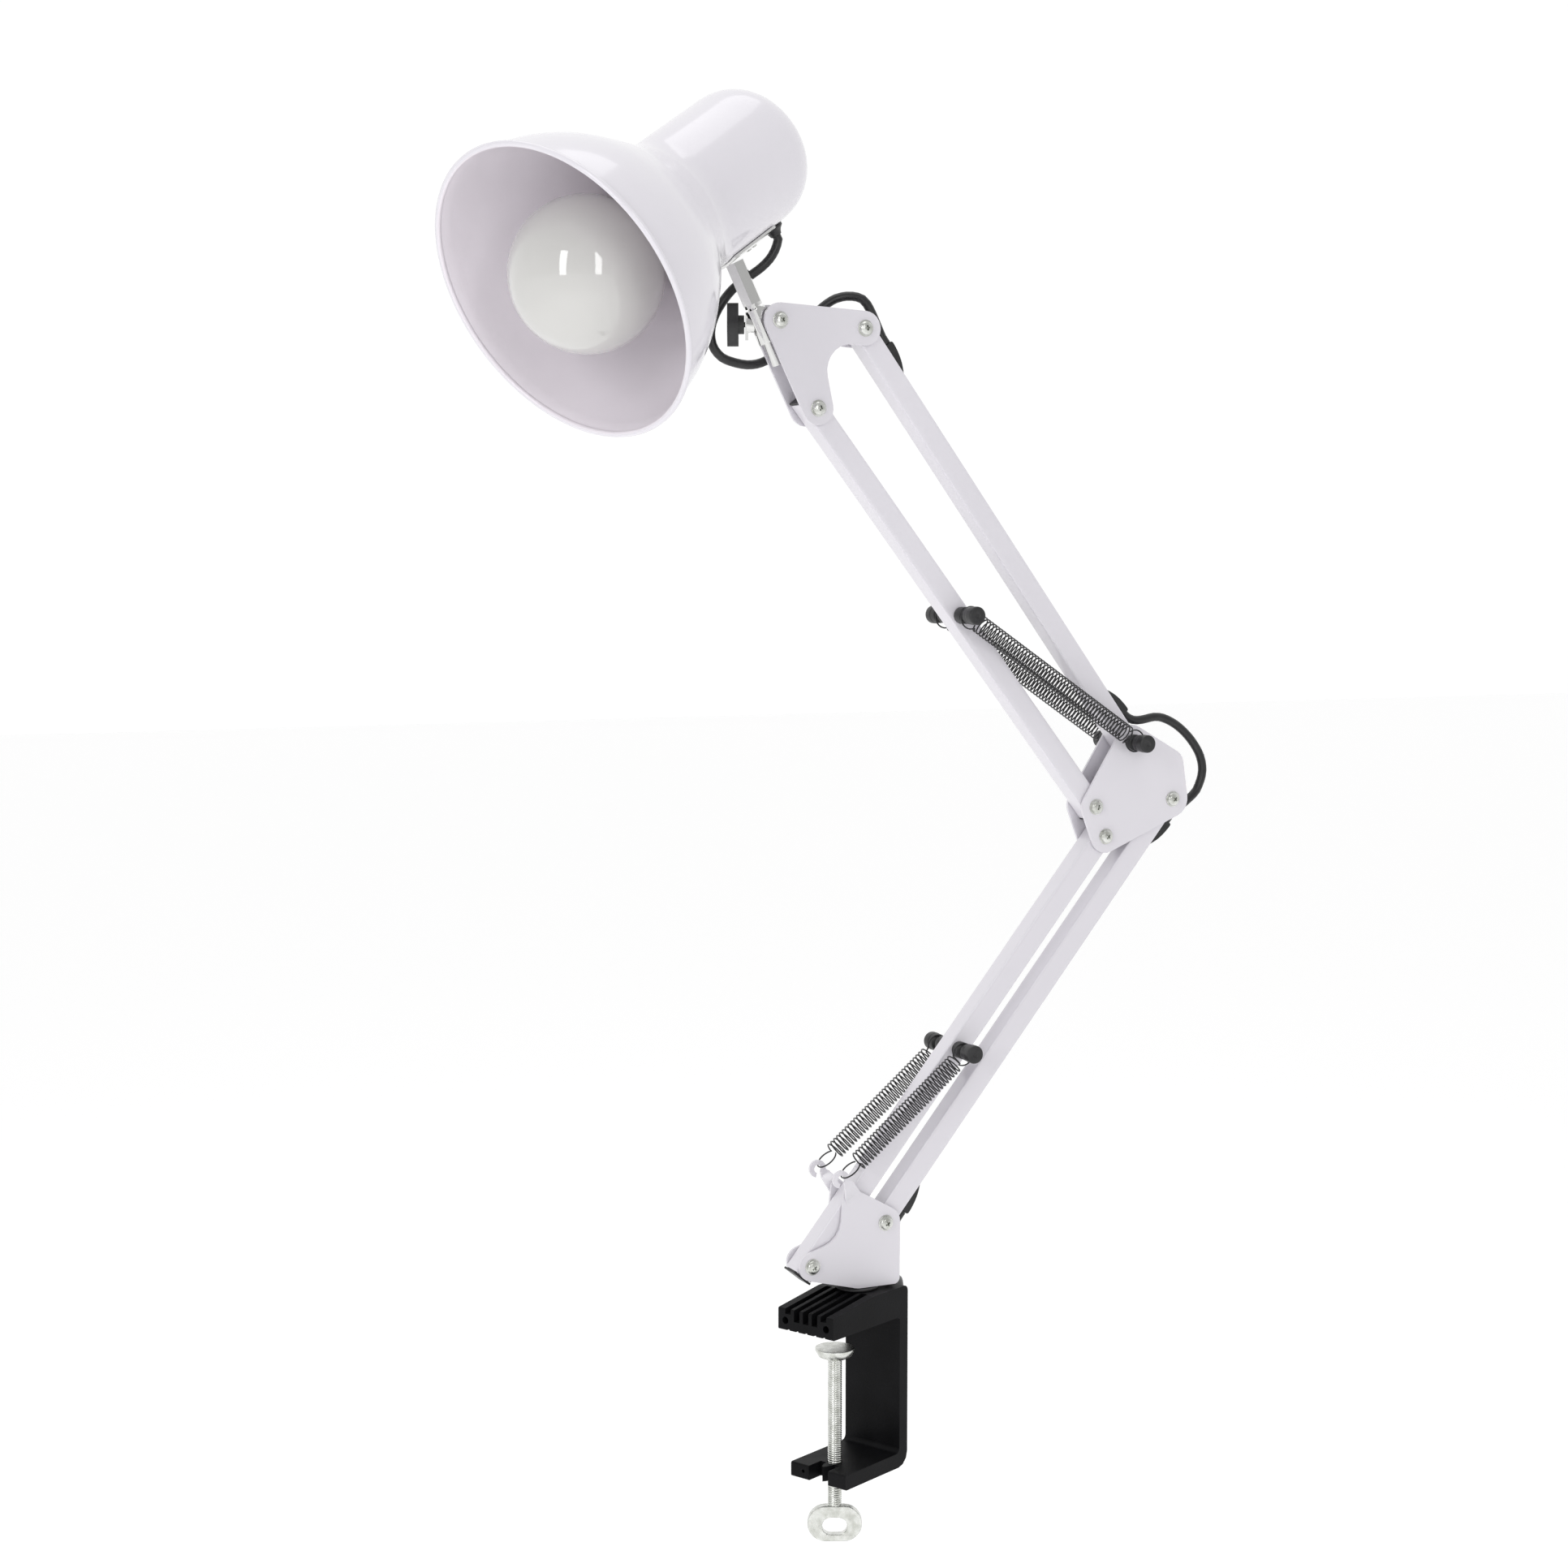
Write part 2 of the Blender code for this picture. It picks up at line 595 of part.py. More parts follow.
def make_knuckle():
    """Saddle: a sleeve round the stem's pin, a tongue between the plates and a boss for the screw."""
    down = in_plane(STEM_DIRECTION)
    across = Vector((-0.902, 0.432, 0)).normalized()
    spot = in_plane(stem_point(0.0370))
    turn = Matrix.Rotation(math.pi / 2, 4, "X")
    saddle = place("knuckle_saddle", rod_mesh(0.0056, 0.0190, 16),
                   Matrix.Translation(in_plane(stem_point(0.0372))) @ along(down))
    tongue = belt([(KNUCKLE, 0.0062), (stem_point(0.0290), 0.0020), (stem_point(0.0450), 0.0020)])
    boss = cutter("boss", rod_mesh(0.0042, 0.0080, 14), Matrix.Translation(spot + 0.0040 * across) @ along(across))
    upward = (-down - (-down).dot(across) * across).normalized()
    beside = Matrix((upward.cross(across), upward, across)).transposed().to_4x4()
    ear = cutter("ear", box_mesh((0.0044, 0.0130, 0.0016)),
                 Matrix.Translation(spot + 0.0078 * across - 0.0015 * upward) @ beside)
    combine(saddle, [cutter("tongue", flat_mesh([tongue], 0.0108), turn), boss, ear], "UNION")
    bore = cutter("stem_bore", rod_mesh(0.0036, 0.04, 16),
                  Matrix.Translation(in_plane(stem_point(0.0372))) @ along(down))
    hole = cutter("knuckle_hole", rod_mesh(SCREW_HOLE, 0.03, 14), across_matrix(KNUCKLE))
    screw_hole = cutter("screw_hole", rod_mesh(0.0018, 0.0100, 12),
                        Matrix.Translation(spot + 0.0070 * across) @ along(across))
    combine(saddle, [bore, hole, screw_hole])
    knob = place("wing_knob", rod_mesh(0.0014, 0.0080, 12), Matrix.Translation(spot + 0.0086 * across)
                 @ along(across))
    wing = belt([(Vector((0, -0.0088)), 0.0027), (Vector((0.0016, 0)), 0.0050), (Vector((0, 0.0088)), 0.0027)])
    frame = Matrix((upward.cross(across), upward, -across)).transposed().to_4x4()
    hub = cutter("knob_hub", rod_mesh(0.0050, 0.0084, 16), Matrix.Translation(spot + 0.0134 * across)
                 @ along(across))
    blade = cutter("knob_wing", flat_mesh([wing], 0.0060),
                    Matrix.Translation(spot + 0.0152 * across) @ frame)
    return finish(saddle, CHROME), finish(combine(knob, [hub, blade], "UNION"), BLACK)


def make_strap():
    """Curved seat plate under the neck, with its two screws behind the stem."""
    spread = math.radians(24)
    inner = NECK_RADIUS + GAP
    outer = inner + 0.0014
    arc = [outer * unit(-spread + spread * turn / 4) for turn in range(9)]
    arc += [inner * unit(spread - spread * turn / 4) for turn in range(9)]
    strap = finish(place("neck_strap", flat_mesh([arc], 0.0360), head_matrix(0.1195)), CHROME)
    screws = []
    out = (head_point(0.1200, 1) - head_point(0.1200)).normalized()
    profile = [(0, 0.0024), (0.0013, 0.0024), (0.0020, 0.0012), (0.0020, GAP), (0, GAP)]
    for index, place_on_neck in enumerate((0.1272, 0.1319)):
        matrix = Matrix.Translation(head_point(place_on_neck, outer)) @ along(out)
        screws.append(finish(place(f"strap_screw_{index + 1}", turned_mesh(profile, 12), matrix), ZINC))
    return strap, screws


def make_shade():
    """Bell and neck in one spun shell with a rolled rim."""
    outer = [
        (0.0000, HEAD_LENGTH), (0.0150, 0.1770), (0.0260, 0.1735), (0.0335, 0.1660),
        (NECK_RADIUS, 0.1540), (NECK_RADIUS, 0.0930), (0.0393, 0.0868), (0.0430, 0.0790),
        (0.0505, 0.0675), (0.0593, 0.0545), (0.0680, 0.0400), (0.0752, 0.0220), (0.0789, 0.0042),
        (RIM_RADIUS + 0.0002, 0.0030), (RIM_RADIUS + 0.0004, 0.0010), (RIM_RADIUS - 0.0004, -0.0006)]
    inner = [
        (0.0780, -0.0006), (0.0770, 0.0010), (0.0740, 0.0218), (0.0669, 0.0394), (0.0583, 0.0538),
        (0.0495, 0.0668), (0.0419, 0.0784), (0.0381, 0.0864), (NECK_RADIUS - SHADE_WALL, 0.0928),
        (NECK_RADIUS - SHADE_WALL, 0.1538), (0.0324, 0.1652), (0.0252, 0.1724), (0.0147, 0.1758),
        (0.0000, HEAD_LENGTH - SHADE_WALL)]
    return finish(place("shade", turned_mesh(outer + inner, 40), head_matrix(0)), WHITE)


def make_lamp():
    """Ceramic holder on a flange inside the neck, and a screw-in globe bulb."""
    flange = NECK_RADIUS - SHADE_WALL - GAP
    cap_start = BULB_S + 0.0540
    cap_end = cap_start + 0.0260
    holder = place("lamp_holder", turned_mesh([
        (0, 0.1480), (0.0170, 0.1480), (0.0170, 0.1320), (flange, 0.1320), (flange, 0.1290),
        (0.0200, 0.1290), (0.0200, 0.0790), (0.0155, 0.0790), (0.0155, 0.1220), (0, 0.1220)]),
        head_matrix(0))
    throat = BULB_S + BULB_RADIUS * 0.93

    def skin(inset):
        line = [(0.0122 - inset, cap_start - GAP), (0.0128 - inset, throat + 0.0095),
                (0.0152 - inset, throat + 0.0020)]
        for turn in range(13):
            angle = math.radians(66 - turn * 156 / 12)
            line.append(((BULB_RADIUS - inset) * math.cos(angle), BULB_S + (BULB_RADIUS - inset) * math.sin(angle)))
        return line

    globe = place("bulb_globe", turned_mesh([*skin(0), *reversed(skin(0.0010)), skin(0)[0]], 28), head_matrix(0))
    cap = place("bulb_cap", turned_mesh([
        (0, cap_end), (0.0045, cap_end), (0.0060, cap_end - 0.0030), (0.0130, cap_end - 0.0060),
        (0.0130, cap_start), (0, cap_start)], 20), head_matrix(0))
    return finish(holder, CERAMIC), finish(globe, OPAL), finish(cap, BRASS)


def make_cable_boot(exit_direction):
    """Strain relief under the neck: a flange and a taper down to the cable."""
    top = head_point(0.1500, NECK_RADIUS + GAP)
    profile = [(0, BOOT), (0.0052, BOOT), (0.0058, BOOT - 0.0012), (0.0036, 0.0014), (0.0031, 0), (0, 0)]
    matrix = Matrix.Translation(top + BOOT * exit_direction) @ along(-exit_direction)
    return finish(place("cable_boot", turned_mesh(profile, 16), matrix), BLACK)


# ---------------------------------------------------------------- cables

def make_cables(bars):
    """Head loop, elbow loop and mains lead, each a plain tube along its route."""
    upper, upper_rear, lower, lower_rear = bars
    boot_exit = (head_point(0.1500, 1) - head_point(0.1500)).normalized()
    boot_tip = head_point(0.1500, NECK_RADIUS + GAP) + (BOOT + GAP) * boot_exit
    hood_reach = BAR / 2 + 0.0030
    head_end = HEAD_REAR - (0.0160 - GAP) * upper + hood_reach * upper_rear
    head_route = [boot_tip, boot_tip + 0.002 * boot_exit] + [Vector(point) for point in (
        (-0.0440, 0.0132, 0.5865), (-0.0472, 0.0138, 0.5812), (-0.0520, 0.0145, 0.5765),
        (-0.0575, 0.0150, 0.5725), (-0.0675, 0.0160, 0.5650), (-0.0755, 0.0165, 0.5550),
        (-0.0800, 0.0165, 0.5450), (-0.0800, 0.0165, 0.5365), (-0.0765, 0.0165, 0.5305),
        (-0.0705, 0.0165, 0.5270), (-0.0585, 0.0160, 0.5250), (-0.0475, 0.0155, 0.5280),
        (-0.0340, 0.0150, 0.5380), (-0.0245, 0.0150, 0.5475), (-0.0165, 0.0145, 0.5560),
        (-0.0080, 0.0120, 0.5620), (0.0010, 0.0085, 0.5632), (0.0070, 0.0045, 0.5590))]
    head_route += [in_plane(head_end + 0.004 * upper), in_plane(head_end)]
    head_cable = place("head_cable", pipe_mesh(smooth_route(head_route, 0.006), CABLE / 2))
    elbow_start = UPPER_REAR + (0.0140 - GAP) * upper + hood_reach * upper_rear
    elbow_end = ELBOW_REAR - (0.0100 - GAP) * lower + hood_reach * lower_rear
    elbow_route = [elbow_start, elbow_start - 0.003 * upper] + [
        Vector(point) for point in (
            (0.1850, 0.3295), (0.1915, 0.3310), (0.1985, 0.3295), (0.2065, 0.3260), (0.2140, 0.3205),
            (0.2205, 0.3135), (0.2250, 0.3060), (0.2265, 0.2980), (0.2245, 0.2905), (0.2200, 0.2840))]
    elbow_route += [elbow_end + 0.004 * lower, elbow_end]
    elbow_route = [in_plane(point) for point in elbow_route]
    elbow_cable = place("elbow_cable", pipe_mesh(smooth_route(elbow_route, 0.006), CABLE / 2))
    runs = []
    for name, low, high, direction, rear in (
            ("upper_cable_run", UPPER_REAR + 0.040 * upper, HEAD_REAR - 0.040 * upper, upper, upper_rear),
            ("lower_cable_run", LOWER_REAR + 0.040 * lower, ELBOW_REAR - 0.036 * lower, lower, lower_rear)):
        shift = (BAR / 2 - BAR_WALL - CABLE / 2 - 2 * GAP) * rear
        ends = [in_plane(low + shift), in_plane(high + shift)]
        runs.append(finish(place(name, pipe_mesh(ends, CABLE / 2)), BLACK))
    tail_start = LOWER_REAR + (0.0120 - GAP) * lower + hood_reach * lower_rear
    tail_route = [in_plane(tail_start), in_plane(tail_start - 0.004 * lower)]
    tail_route += [Vector(point) for point in (
        (0.0250, 0.0045, 0.0470), (0.0254, 0.0100, 0.0385), (0.0266, 0.0136, 0.0290), (0.0285, 0.0150, 0.0190))]
    deep = Vector((-math.sin(HANK_TURN), math.cos(HANK_TURN), 0))
    hank_shoulder = HANK_CENTRE - 0.0240 * deep + Vector((0, 0, 0.0413))
    tail_route += [hank_shoulder + Vector((0, 0, 0.0060)), hank_shoulder]
    tail = place("mains_lead", pipe_mesh(smooth_route(tail_route, 0.008), CABLE / 2))
    return finish(head_cable, BLACK), finish(elbow_cable, BLACK), finish(tail, BLACK), runs


def make_hank():
    """Mains lead folded into an upright hank, and its two-pin plug beside it."""
    sideways = Vector((math.cos(HANK_TURN), math.sin(HANK_TURN), 0))
    deep = Vector((-math.sin(HANK_TURN), math.cos(HANK_TURN), 0))
    frame = Matrix((deep, Vector((0, 0, 1)), sideways)).transposed().to_4x4()
    radius = HANK_DEPTH / 2
    rise = HANK_HEIGHT / 2 - radius
    outline = belt([(Vector((0, -rise)), radius), (Vector((0, rise)), radius)])
    spot = Matrix.Translation(HANK_CENTRE)
    hank = finish(place("mains_hank", flat_mesh([outline], HANK_WIDTH), spot @ frame), BLACK)
    body = [(-0.0068, -0.0200), (0.0068, -0.0200), (0.0174, -0.0100), (0.0174, 0.0150),
            (-0.0174, 0.0150), (-0.0174, -0.0100)]
    beside = HANK_CENTRE - (HANK_WIDTH / 2 + 0.0005 + 0.0068) * sideways + 0.0125 * deep
    beside += Vector((0, 0, 0.0050))
    plug = place("mains_plug", flat_mesh([body], 0.0136), Matrix.Translation(beside) @ frame)
    bevel(plug, 0.0015, 2, 50)
    pins = []
    for index, offset in enumerate((-0.0095, 0.0095)):
        pin_spot = beside + offset * deep + Vector((0, 0, 0.0240))
        pins.append(cutter(f"plug_pin_{index}", rod_mesh(0.0020, 0.0190, 12), Matrix.Translation(pin_spot)))
    return hank, finish(combine(plug, pins, "UNION"), BLACK)


# ---------------------------------------------------------------- assembly

def build():
    lower = LOWER_SPAN.normalized()
    lower_rear = Vector((lower.y, -lower.x))
    front = (HEAD_FRONT - UPPER_FRONT).normalized()
    upper = (HEAD_REAR - UPPER_REAR).normalized()
    upper_rear = Vector((upper.y, -upper.x))

    clamp_frame = make_clamp_frame()
    washer, pin = make_swivel()
    rod, pad, ring = make_clamp_screw()
    bracket = make_base_bracket()

    hole = SCREW_RADIUS + 0.0004
    loose = SCREW_RADIUS + 0.0029
    lower_front_bar = make_bar("lower_front_bar", LOWER_FRONT, ELBOW_FRONT, 0.0072, 0.0042,
                               [(LOWER_FRONT, hole), (ELBOW_FRONT, hole), (LOWER_POST, hole)])
    hood_tilt = math.atan2(lower.y, lower.x)
    slots = [(LOWER_REAR + 0.0240 * lower + 0.0060 * lower_rear, hood_tilt),
             (ELBOW_REAR - 0.0220 * lower + 0.0060 * lower_rear, hood_tilt)]
    lower_rear_bar = make_bar("lower_rear_bar", LOWER_REAR, ELBOW_REAR, 0.0060, 0.0060,
                              [(LOWER_REAR, hole), (ELBOW_REAR, hole)], slots)
    upper_front_bar = make_bar("upper_front_bar", UPPER_FRONT, HEAD_FRONT, 0.0042, 0.0072,
                               [(UPPER_FRONT, hole), (HEAD_FRONT, loose), (UPPER_POST, hole)])
    hood_tilt = math.atan2(upper.y, upper.x)
    slots = [(UPPER_REAR + 0.0260 * upper + 0.0060 * upper_rear, hood_tilt),
             (HEAD_REAR - 0.0280 * upper + 0.0060 * upper_rear, hood_tilt)]
    upper_rear_bar = make_bar("upper_rear_bar", UPPER_REAR, HEAD_REAR, 0.0056, 0.0060,
                              [(UPPER_REAR, hole), (HEAD_REAR, hole)], slots)
    caps = {
        "lower_bar_bottom_cap": (LOWER_FRONT - 0.0072 * lower, -lower),
        "lower_bar_top_cap": (ELBOW_FRONT + 0.0042 * lower, lower),
        "upper_bar_bottom_cap": (UPPER_FRONT - 0.0042 * front, -front),
        "upper_bar_top_cap": (HEAD_FRONT + 0.0072 * front, front),
    }
    cap = {name: make_end_cap(name, end, outwards) for name, (end, outwards) in caps.items()}
    hoods = [
        make_cable_hood("base_cable_hood", LOWER_REAR, lower, lower_rear, 0.0120, True),
        make_cable_hood("elbow_hood_lower", ELBOW_REAR, -lower, lower_rear, 0.0100, False),
        make_cable_hood("elbow_hood_upper", UPPER_REAR, upper, upper_rear, 0.0140, True),
        make_cable_hood("head_cable_hood", HEAD_REAR, -upper, upper_rear, 0.0160, False),
    ]
    lower_posts = make_post("lower_spring_post", LOWER_POST, BAR / 2)
    upper_posts = make_post("upper_spring_post", UPPER_POST, BAR / 2)
    elbow_posts = make_post("elbow_spring_post", UPPER_REAR, PLATE_Y + PLATE / 2)
    springs = [
        make_spring("lower_spring_near", SPRING_HOOK, LOWER_POST, -1),
        make_spring("lower_spring_far", SPRING_HOOK, LOWER_POST, 1),
        make_spring("upper_spring_near", UPPER_POST, UPPER_REAR, -1),
        make_spring("upper_spring_far", UPPER_POST, UPPER_REAR, 1),
    ]
    elbow_plates = make_plates("elbow_plate", [
        (UPPER_REAR, 0.0100), (UPPER_FRONT, 0.0095), (ELBOW_FRONT, 0.0095), (ELBOW_REAR, 0.0104),
        (Vector((0.1995, 0.3035)), 0.0080)],
        [ELBOW_FRONT, ELBOW_REAR, UPPER_FRONT, UPPER_REAR])
    head_plates = make_plates("head_plate", [
        (KNUCKLE, 0.0093), (HEAD_FRONT, 0.0090), (Vector((-0.0090, 0.5215)), -0.0145), (HEAD_REAR, 0.0093)],
        [KNUCKLE, HEAD_FRONT, HEAD_REAR])
    bolts = {name: make_bolt(f"pivot_screw_{name}", point) for name, point in (
        ("base_front", LOWER_FRONT), ("base_rear", LOWER_REAR), ("elbow_front", ELBOW_FRONT),
        ("elbow_rear", ELBOW_REAR), ("elbow_upper", UPPER_FRONT), ("head_front", HEAD_FRONT),
        ("head_rear", HEAD_REAR), ("knuckle", KNUCKLE))}
    stem = make_stem()
    saddle, knob = make_knuckle()
    strap, strap_screws = make_strap()
    shade = make_shade()
    holder, globe, bulb_cap = make_lamp()
    boot_exit = (head_point(0.1400, 1) - head_point(0.1400)).normalized()
    boot = make_cable_boot(boot_exit)
    head_cable, elbow_cable, lead, runs = make_cables((upper, upper_rear, lower, lower_rear))
    make_hank()

    screw_axis = carry("clamp_screw_axis", clamp_point(ROD_S, 0, PAD_TOP), 0, [rod, pad, ring])
    base = carry("base_swivel_axis", Vector((0, 0, CLAMP_TOP)), 0,
                 [bracket, pin, bolts["base_front"], bolts["base_rear"], *springs[:2], lead])
    front_arm = [lower_front_bar, cap["lower_bar_bottom_cap"], cap["lower_bar_top_cap"], *lower_posts]
    carry("lower_front_axis", LOWER_FRONT, 0, front_arm, base)
    lower_arm = carry("lower_rear_axis", LOWER_REAR, 0, [lower_rear_bar, *hoods[:2], runs[1]], base)
    elbow = carry("elbow_axis", ELBOW_REAR, 0, [*elbow_plates, *elbow_posts, elbow_cable,
                  bolts["elbow_front"], bolts["elbow_rear"], bolts["elbow_upper"], *springs[2:]], lower_arm)
    front_arm = [upper_front_bar, cap["upper_bar_bottom_cap"], cap["upper_bar_top_cap"], *upper_posts]
    carry("upper_front_axis", UPPER_FRONT, 0, front_arm, elbow)
    upper_arm = carry("upper_rear_axis", UPPER_REAR, 0, [upper_rear_bar, *hoods[2:], runs[0]], elbow)
    head_joint = carry("head_plate_axis", HEAD_REAR, 0, [*head_plates, head_cable, bolts["head_front"],
                       bolts["head_rear"], bolts["knuckle"]], upper_arm)
    knuckle = carry("head_tilt_axis", KNUCKLE, 0, [saddle, knob], head_joint)
    carry("head_swivel_axis", stem_point(0.0372), 0,
          [stem, strap, *strap_screws, shade, holder, globe, bulb_cap, boot], knuckle)
    return screw_axis


build()
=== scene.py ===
"""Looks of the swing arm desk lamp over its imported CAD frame. Metres, +Z up, arm in the XZ plane."""
import json
import math

import bmesh
import bpy
from mathutils import Matrix, Vector

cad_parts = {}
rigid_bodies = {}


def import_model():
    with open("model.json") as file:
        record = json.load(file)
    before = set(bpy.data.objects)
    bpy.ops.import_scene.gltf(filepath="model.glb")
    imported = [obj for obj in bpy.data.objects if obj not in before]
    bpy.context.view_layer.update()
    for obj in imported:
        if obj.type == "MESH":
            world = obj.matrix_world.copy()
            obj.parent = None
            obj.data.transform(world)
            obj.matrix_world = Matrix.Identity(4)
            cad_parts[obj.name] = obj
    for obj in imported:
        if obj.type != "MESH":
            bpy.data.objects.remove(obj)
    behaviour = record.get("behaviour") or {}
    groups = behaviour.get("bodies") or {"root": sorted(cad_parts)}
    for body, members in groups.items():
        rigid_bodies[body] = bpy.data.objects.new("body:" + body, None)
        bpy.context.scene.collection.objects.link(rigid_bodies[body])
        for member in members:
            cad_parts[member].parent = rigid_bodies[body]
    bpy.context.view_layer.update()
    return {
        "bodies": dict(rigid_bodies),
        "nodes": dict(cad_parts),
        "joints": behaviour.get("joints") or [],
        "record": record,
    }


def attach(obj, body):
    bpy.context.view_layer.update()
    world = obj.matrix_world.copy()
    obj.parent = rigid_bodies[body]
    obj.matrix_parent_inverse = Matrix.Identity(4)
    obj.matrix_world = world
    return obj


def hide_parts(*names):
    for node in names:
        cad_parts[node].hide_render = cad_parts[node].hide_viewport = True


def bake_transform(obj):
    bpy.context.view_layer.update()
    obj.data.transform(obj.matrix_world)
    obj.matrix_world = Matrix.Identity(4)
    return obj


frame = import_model()
nodes = frame["nodes"]

# The same driving points as the CAD, as (x, z) in the arm's plane
BAR = 0.0127
PLATE_FACE = 0.00855
LOWER_FRONT = Vector((-0.0317, 0.0339))
LOWER_REAR = Vector((0.0135, 0.0537))
LOWER_SPAN = Vector((0.1867, 0.2292))
ELBOW_FRONT = LOWER_FRONT + LOWER_SPAN
ELBOW_REAR = LOWER_REAR + LOWER_SPAN
UPPER_FRONT = Vector((0.1483, 0.2803))
UPPER_REAR = Vector((0.1720, 0.3166))
HEAD_FRONT = Vector((-0.0287, 0.5013))
HEAD_REAR = Vector((-0.0006, 0.5447))
KNUCKLE = Vector((-0.0512, 0.5471))
LOWER_POST = LOWER_FRONT + 0.494 * LOWER_SPAN
UPPER_POST = UPPER_FRONT + 0.497 * (HEAD_FRONT - UPPER_FRONT)
SPRING_HOOK = Vector((-0.0175, 0.0826))
SPRING_Y = 0.0145
CABLE = 0.0050
CABLE_RISE = BAR / 2 + 0.0030      # from a rear bar's middle to the flex that lies on it
HEAD_BREAK = Vector((-0.0755, 0.0165, 0.5550))
PLATE_BREAK = Vector((-0.0340, 0.0150, 0.5380))
STRAP = 0.0014
STRAP_SCREWS = (0.1272, 0.1319)
WIRE = 0.00043
GAP = 0.0003
BOOT_S = 0.1500
BOOT = 0.0052
CLAMP_TURN = math.radians(25)
ROD_S = 0.0196
PAD_TOP = -0.0130
ROD_END = -0.1020
RIM_CENTRE = Vector((-0.1863, -0.0361, 0.5521))
SHADE_AXIS = Vector((0.7933, 0.3114, 0.5233)).normalized()
NECK_RADIUS = 0.0380
HEAD_LENGTH = 0.1780
BULB_S = 0.0217
BULB_RADIUS = 0.0400
STEM_TOP = Vector((-0.0745, 0.5783))
STEM_DIRECTION = Vector((0.437, -0.899)).normalized()
HANK_CENTRE = Vector((0.0400, 0.0364, -0.0370))
HANK_TURN = math.radians(-25.6)

LOWER = LOWER_SPAN.normalized()
LOWER_BACK = Vector((LOWER.y, -LOWER.x))
UPPER = (HEAD_REAR - UPPER_REAR).normalized()
UPPER_BACK = Vector((UPPER.y, -UPPER.x))


# ---------------------------------------------------------------- camera, light, stage

def look(location, right, up, back, angle):
    camera = bpy.data.objects.new("camera", bpy.data.cameras.new("camera"))
    bpy.context.scene.collection.objects.link(camera)
    turn = Matrix((right, up, back)).transposed().to_4x4()
    camera.matrix_world = Matrix.Translation(location) @ turn
    camera.data.angle = angle
    camera.data.clip_start = 0.05
    bpy.context.scene.camera = camera
    return camera


BACK = Vector((-0.4306, -0.8987, 0.0833)).normalized()
RIGHT = Vector((0.902, -0.432, 0)).normalized()
look(Vector((-0.6578, -1.2792, 0.4184)), RIGHT, BACK.cross(RIGHT), BACK, math.radians(33.19))


def area_light(name, location, target, size, power, colour=(1, 1, 1)):
    light = bpy.data.lights.new(name, "AREA")
    light.shape = "RECTANGLE"
    light.size, light.size_y = size
    light.energy = power
    light.color = colour
    made = bpy.data.objects.new(name, light)
    bpy.context.scene.collection.objects.link(made)
    made.location = location
    made.rotation_euler = (Vector(target) - Vector(location)).to_track_quat("-Z", "Y").to_euler()
    return made


def make_lights():
    """Two tall softboxes, one overhead, and a white surround that is darker behind the viewer."""
    centre = Vector((0.0, 0.0, 0.30))
    area_light("softbox_left", centre + Vector((-1.55, -1.00, 0.55)), centre, (0.3, 1.0), 6)
    area_light("softbox_right", centre + Vector((-0.30, -1.85, 0.55)), centre, (0.3, 1.0), 5)
    area_light("softbox_top", centre + Vector((-0.2, 0.1, 1.5)), centre, (1.2, 1.2), 5)
    mouth = area_light("mouth_fill", RIM_CENTRE - 0.30 * SHADE_AXIS, RIM_CENTRE, (0.12, 0.12), 0.08)
    mouth.visible_glossy = False
    world = bpy.data.worlds.new("studio")
    bpy.context.scene.world = world
    world.use_nodes = True
    tree = world.node_tree
    background = tree.nodes["Background"]
    background.inputs["Color"].default_value = (1, 1, 1, 1)
    where = tree.nodes.new("ShaderNodeTexCoord")
    facing = tree.nodes.new("ShaderNodeVectorMath")
    facing.operation = "DOT_PRODUCT"
    facing.inputs[1].default_value = BACK
    spread = tree.nodes.new("ShaderNodeMapRange")
    spread.inputs["From Min"].default_value = -0.55
    spread.inputs["From Max"].default_value = 0.75
    spread.inputs["To Min"].default_value = 1.02
    spread.inputs["To Max"].default_value = 0.52
    tree.links.new(where.outputs["Generated"], facing.inputs[0])
    tree.links.new(facing.outputs["Value"], spread.inputs["Value"])
    tree.links.new(spread.outputs["Result"], background.inputs["Strength"])
    bpy.context.scene.view_settings.view_transform = "Standard"


# ---------------------------------------------------------------- materials

def new_material(name, colour, roughness, metallic=0.0, **extra):
    made = bpy.data.materials.new(name)
    made.use_nodes = True
    shader = made.node_tree.nodes["Principled BSDF"]
    shader.inputs["Base Color"].default_value = (*colour, 1)
    shader.inputs["Roughness"].default_value = roughness
    shader.inputs["Metallic"].default_value = metallic
    for socket, value in extra.items():
        shader.inputs[socket.replace("_", " ")].default_value = value
    return made


def node(material, kind, **inputs):
    made = material.node_tree.nodes.new(kind)
    for socket, value in inputs.items():
        made.inputs[socket.replace("_", " ")].default_value = value
    return made


def vary_colour(material, scale, dark, light, detail=4):
    """Mottles the base colour between two tones with noise."""
    links = material.node_tree.links
    where = node(material, "ShaderNodeTexCoord")
    noise = node(material, "ShaderNodeTexNoise", Scale=scale, Detail=detail)
    ramp = node(material, "ShaderNodeValToRGB")
    ramp.color_ramp.elements[0].position = 0.35
    ramp.color_ramp.elements[1].position = 0.65
    ramp.color_ramp.elements[0].color = (*dark, 1)
    ramp.color_ramp.elements[1].color = (*light, 1)
    links.new(where.outputs["Object"], noise.inputs["Vector"])
    links.new(noise.outputs["Fac"], ramp.inputs["Fac"])
    links.new(ramp.outputs["Color"], material.node_tree.nodes["Principled BSDF"].inputs["Base Color"])


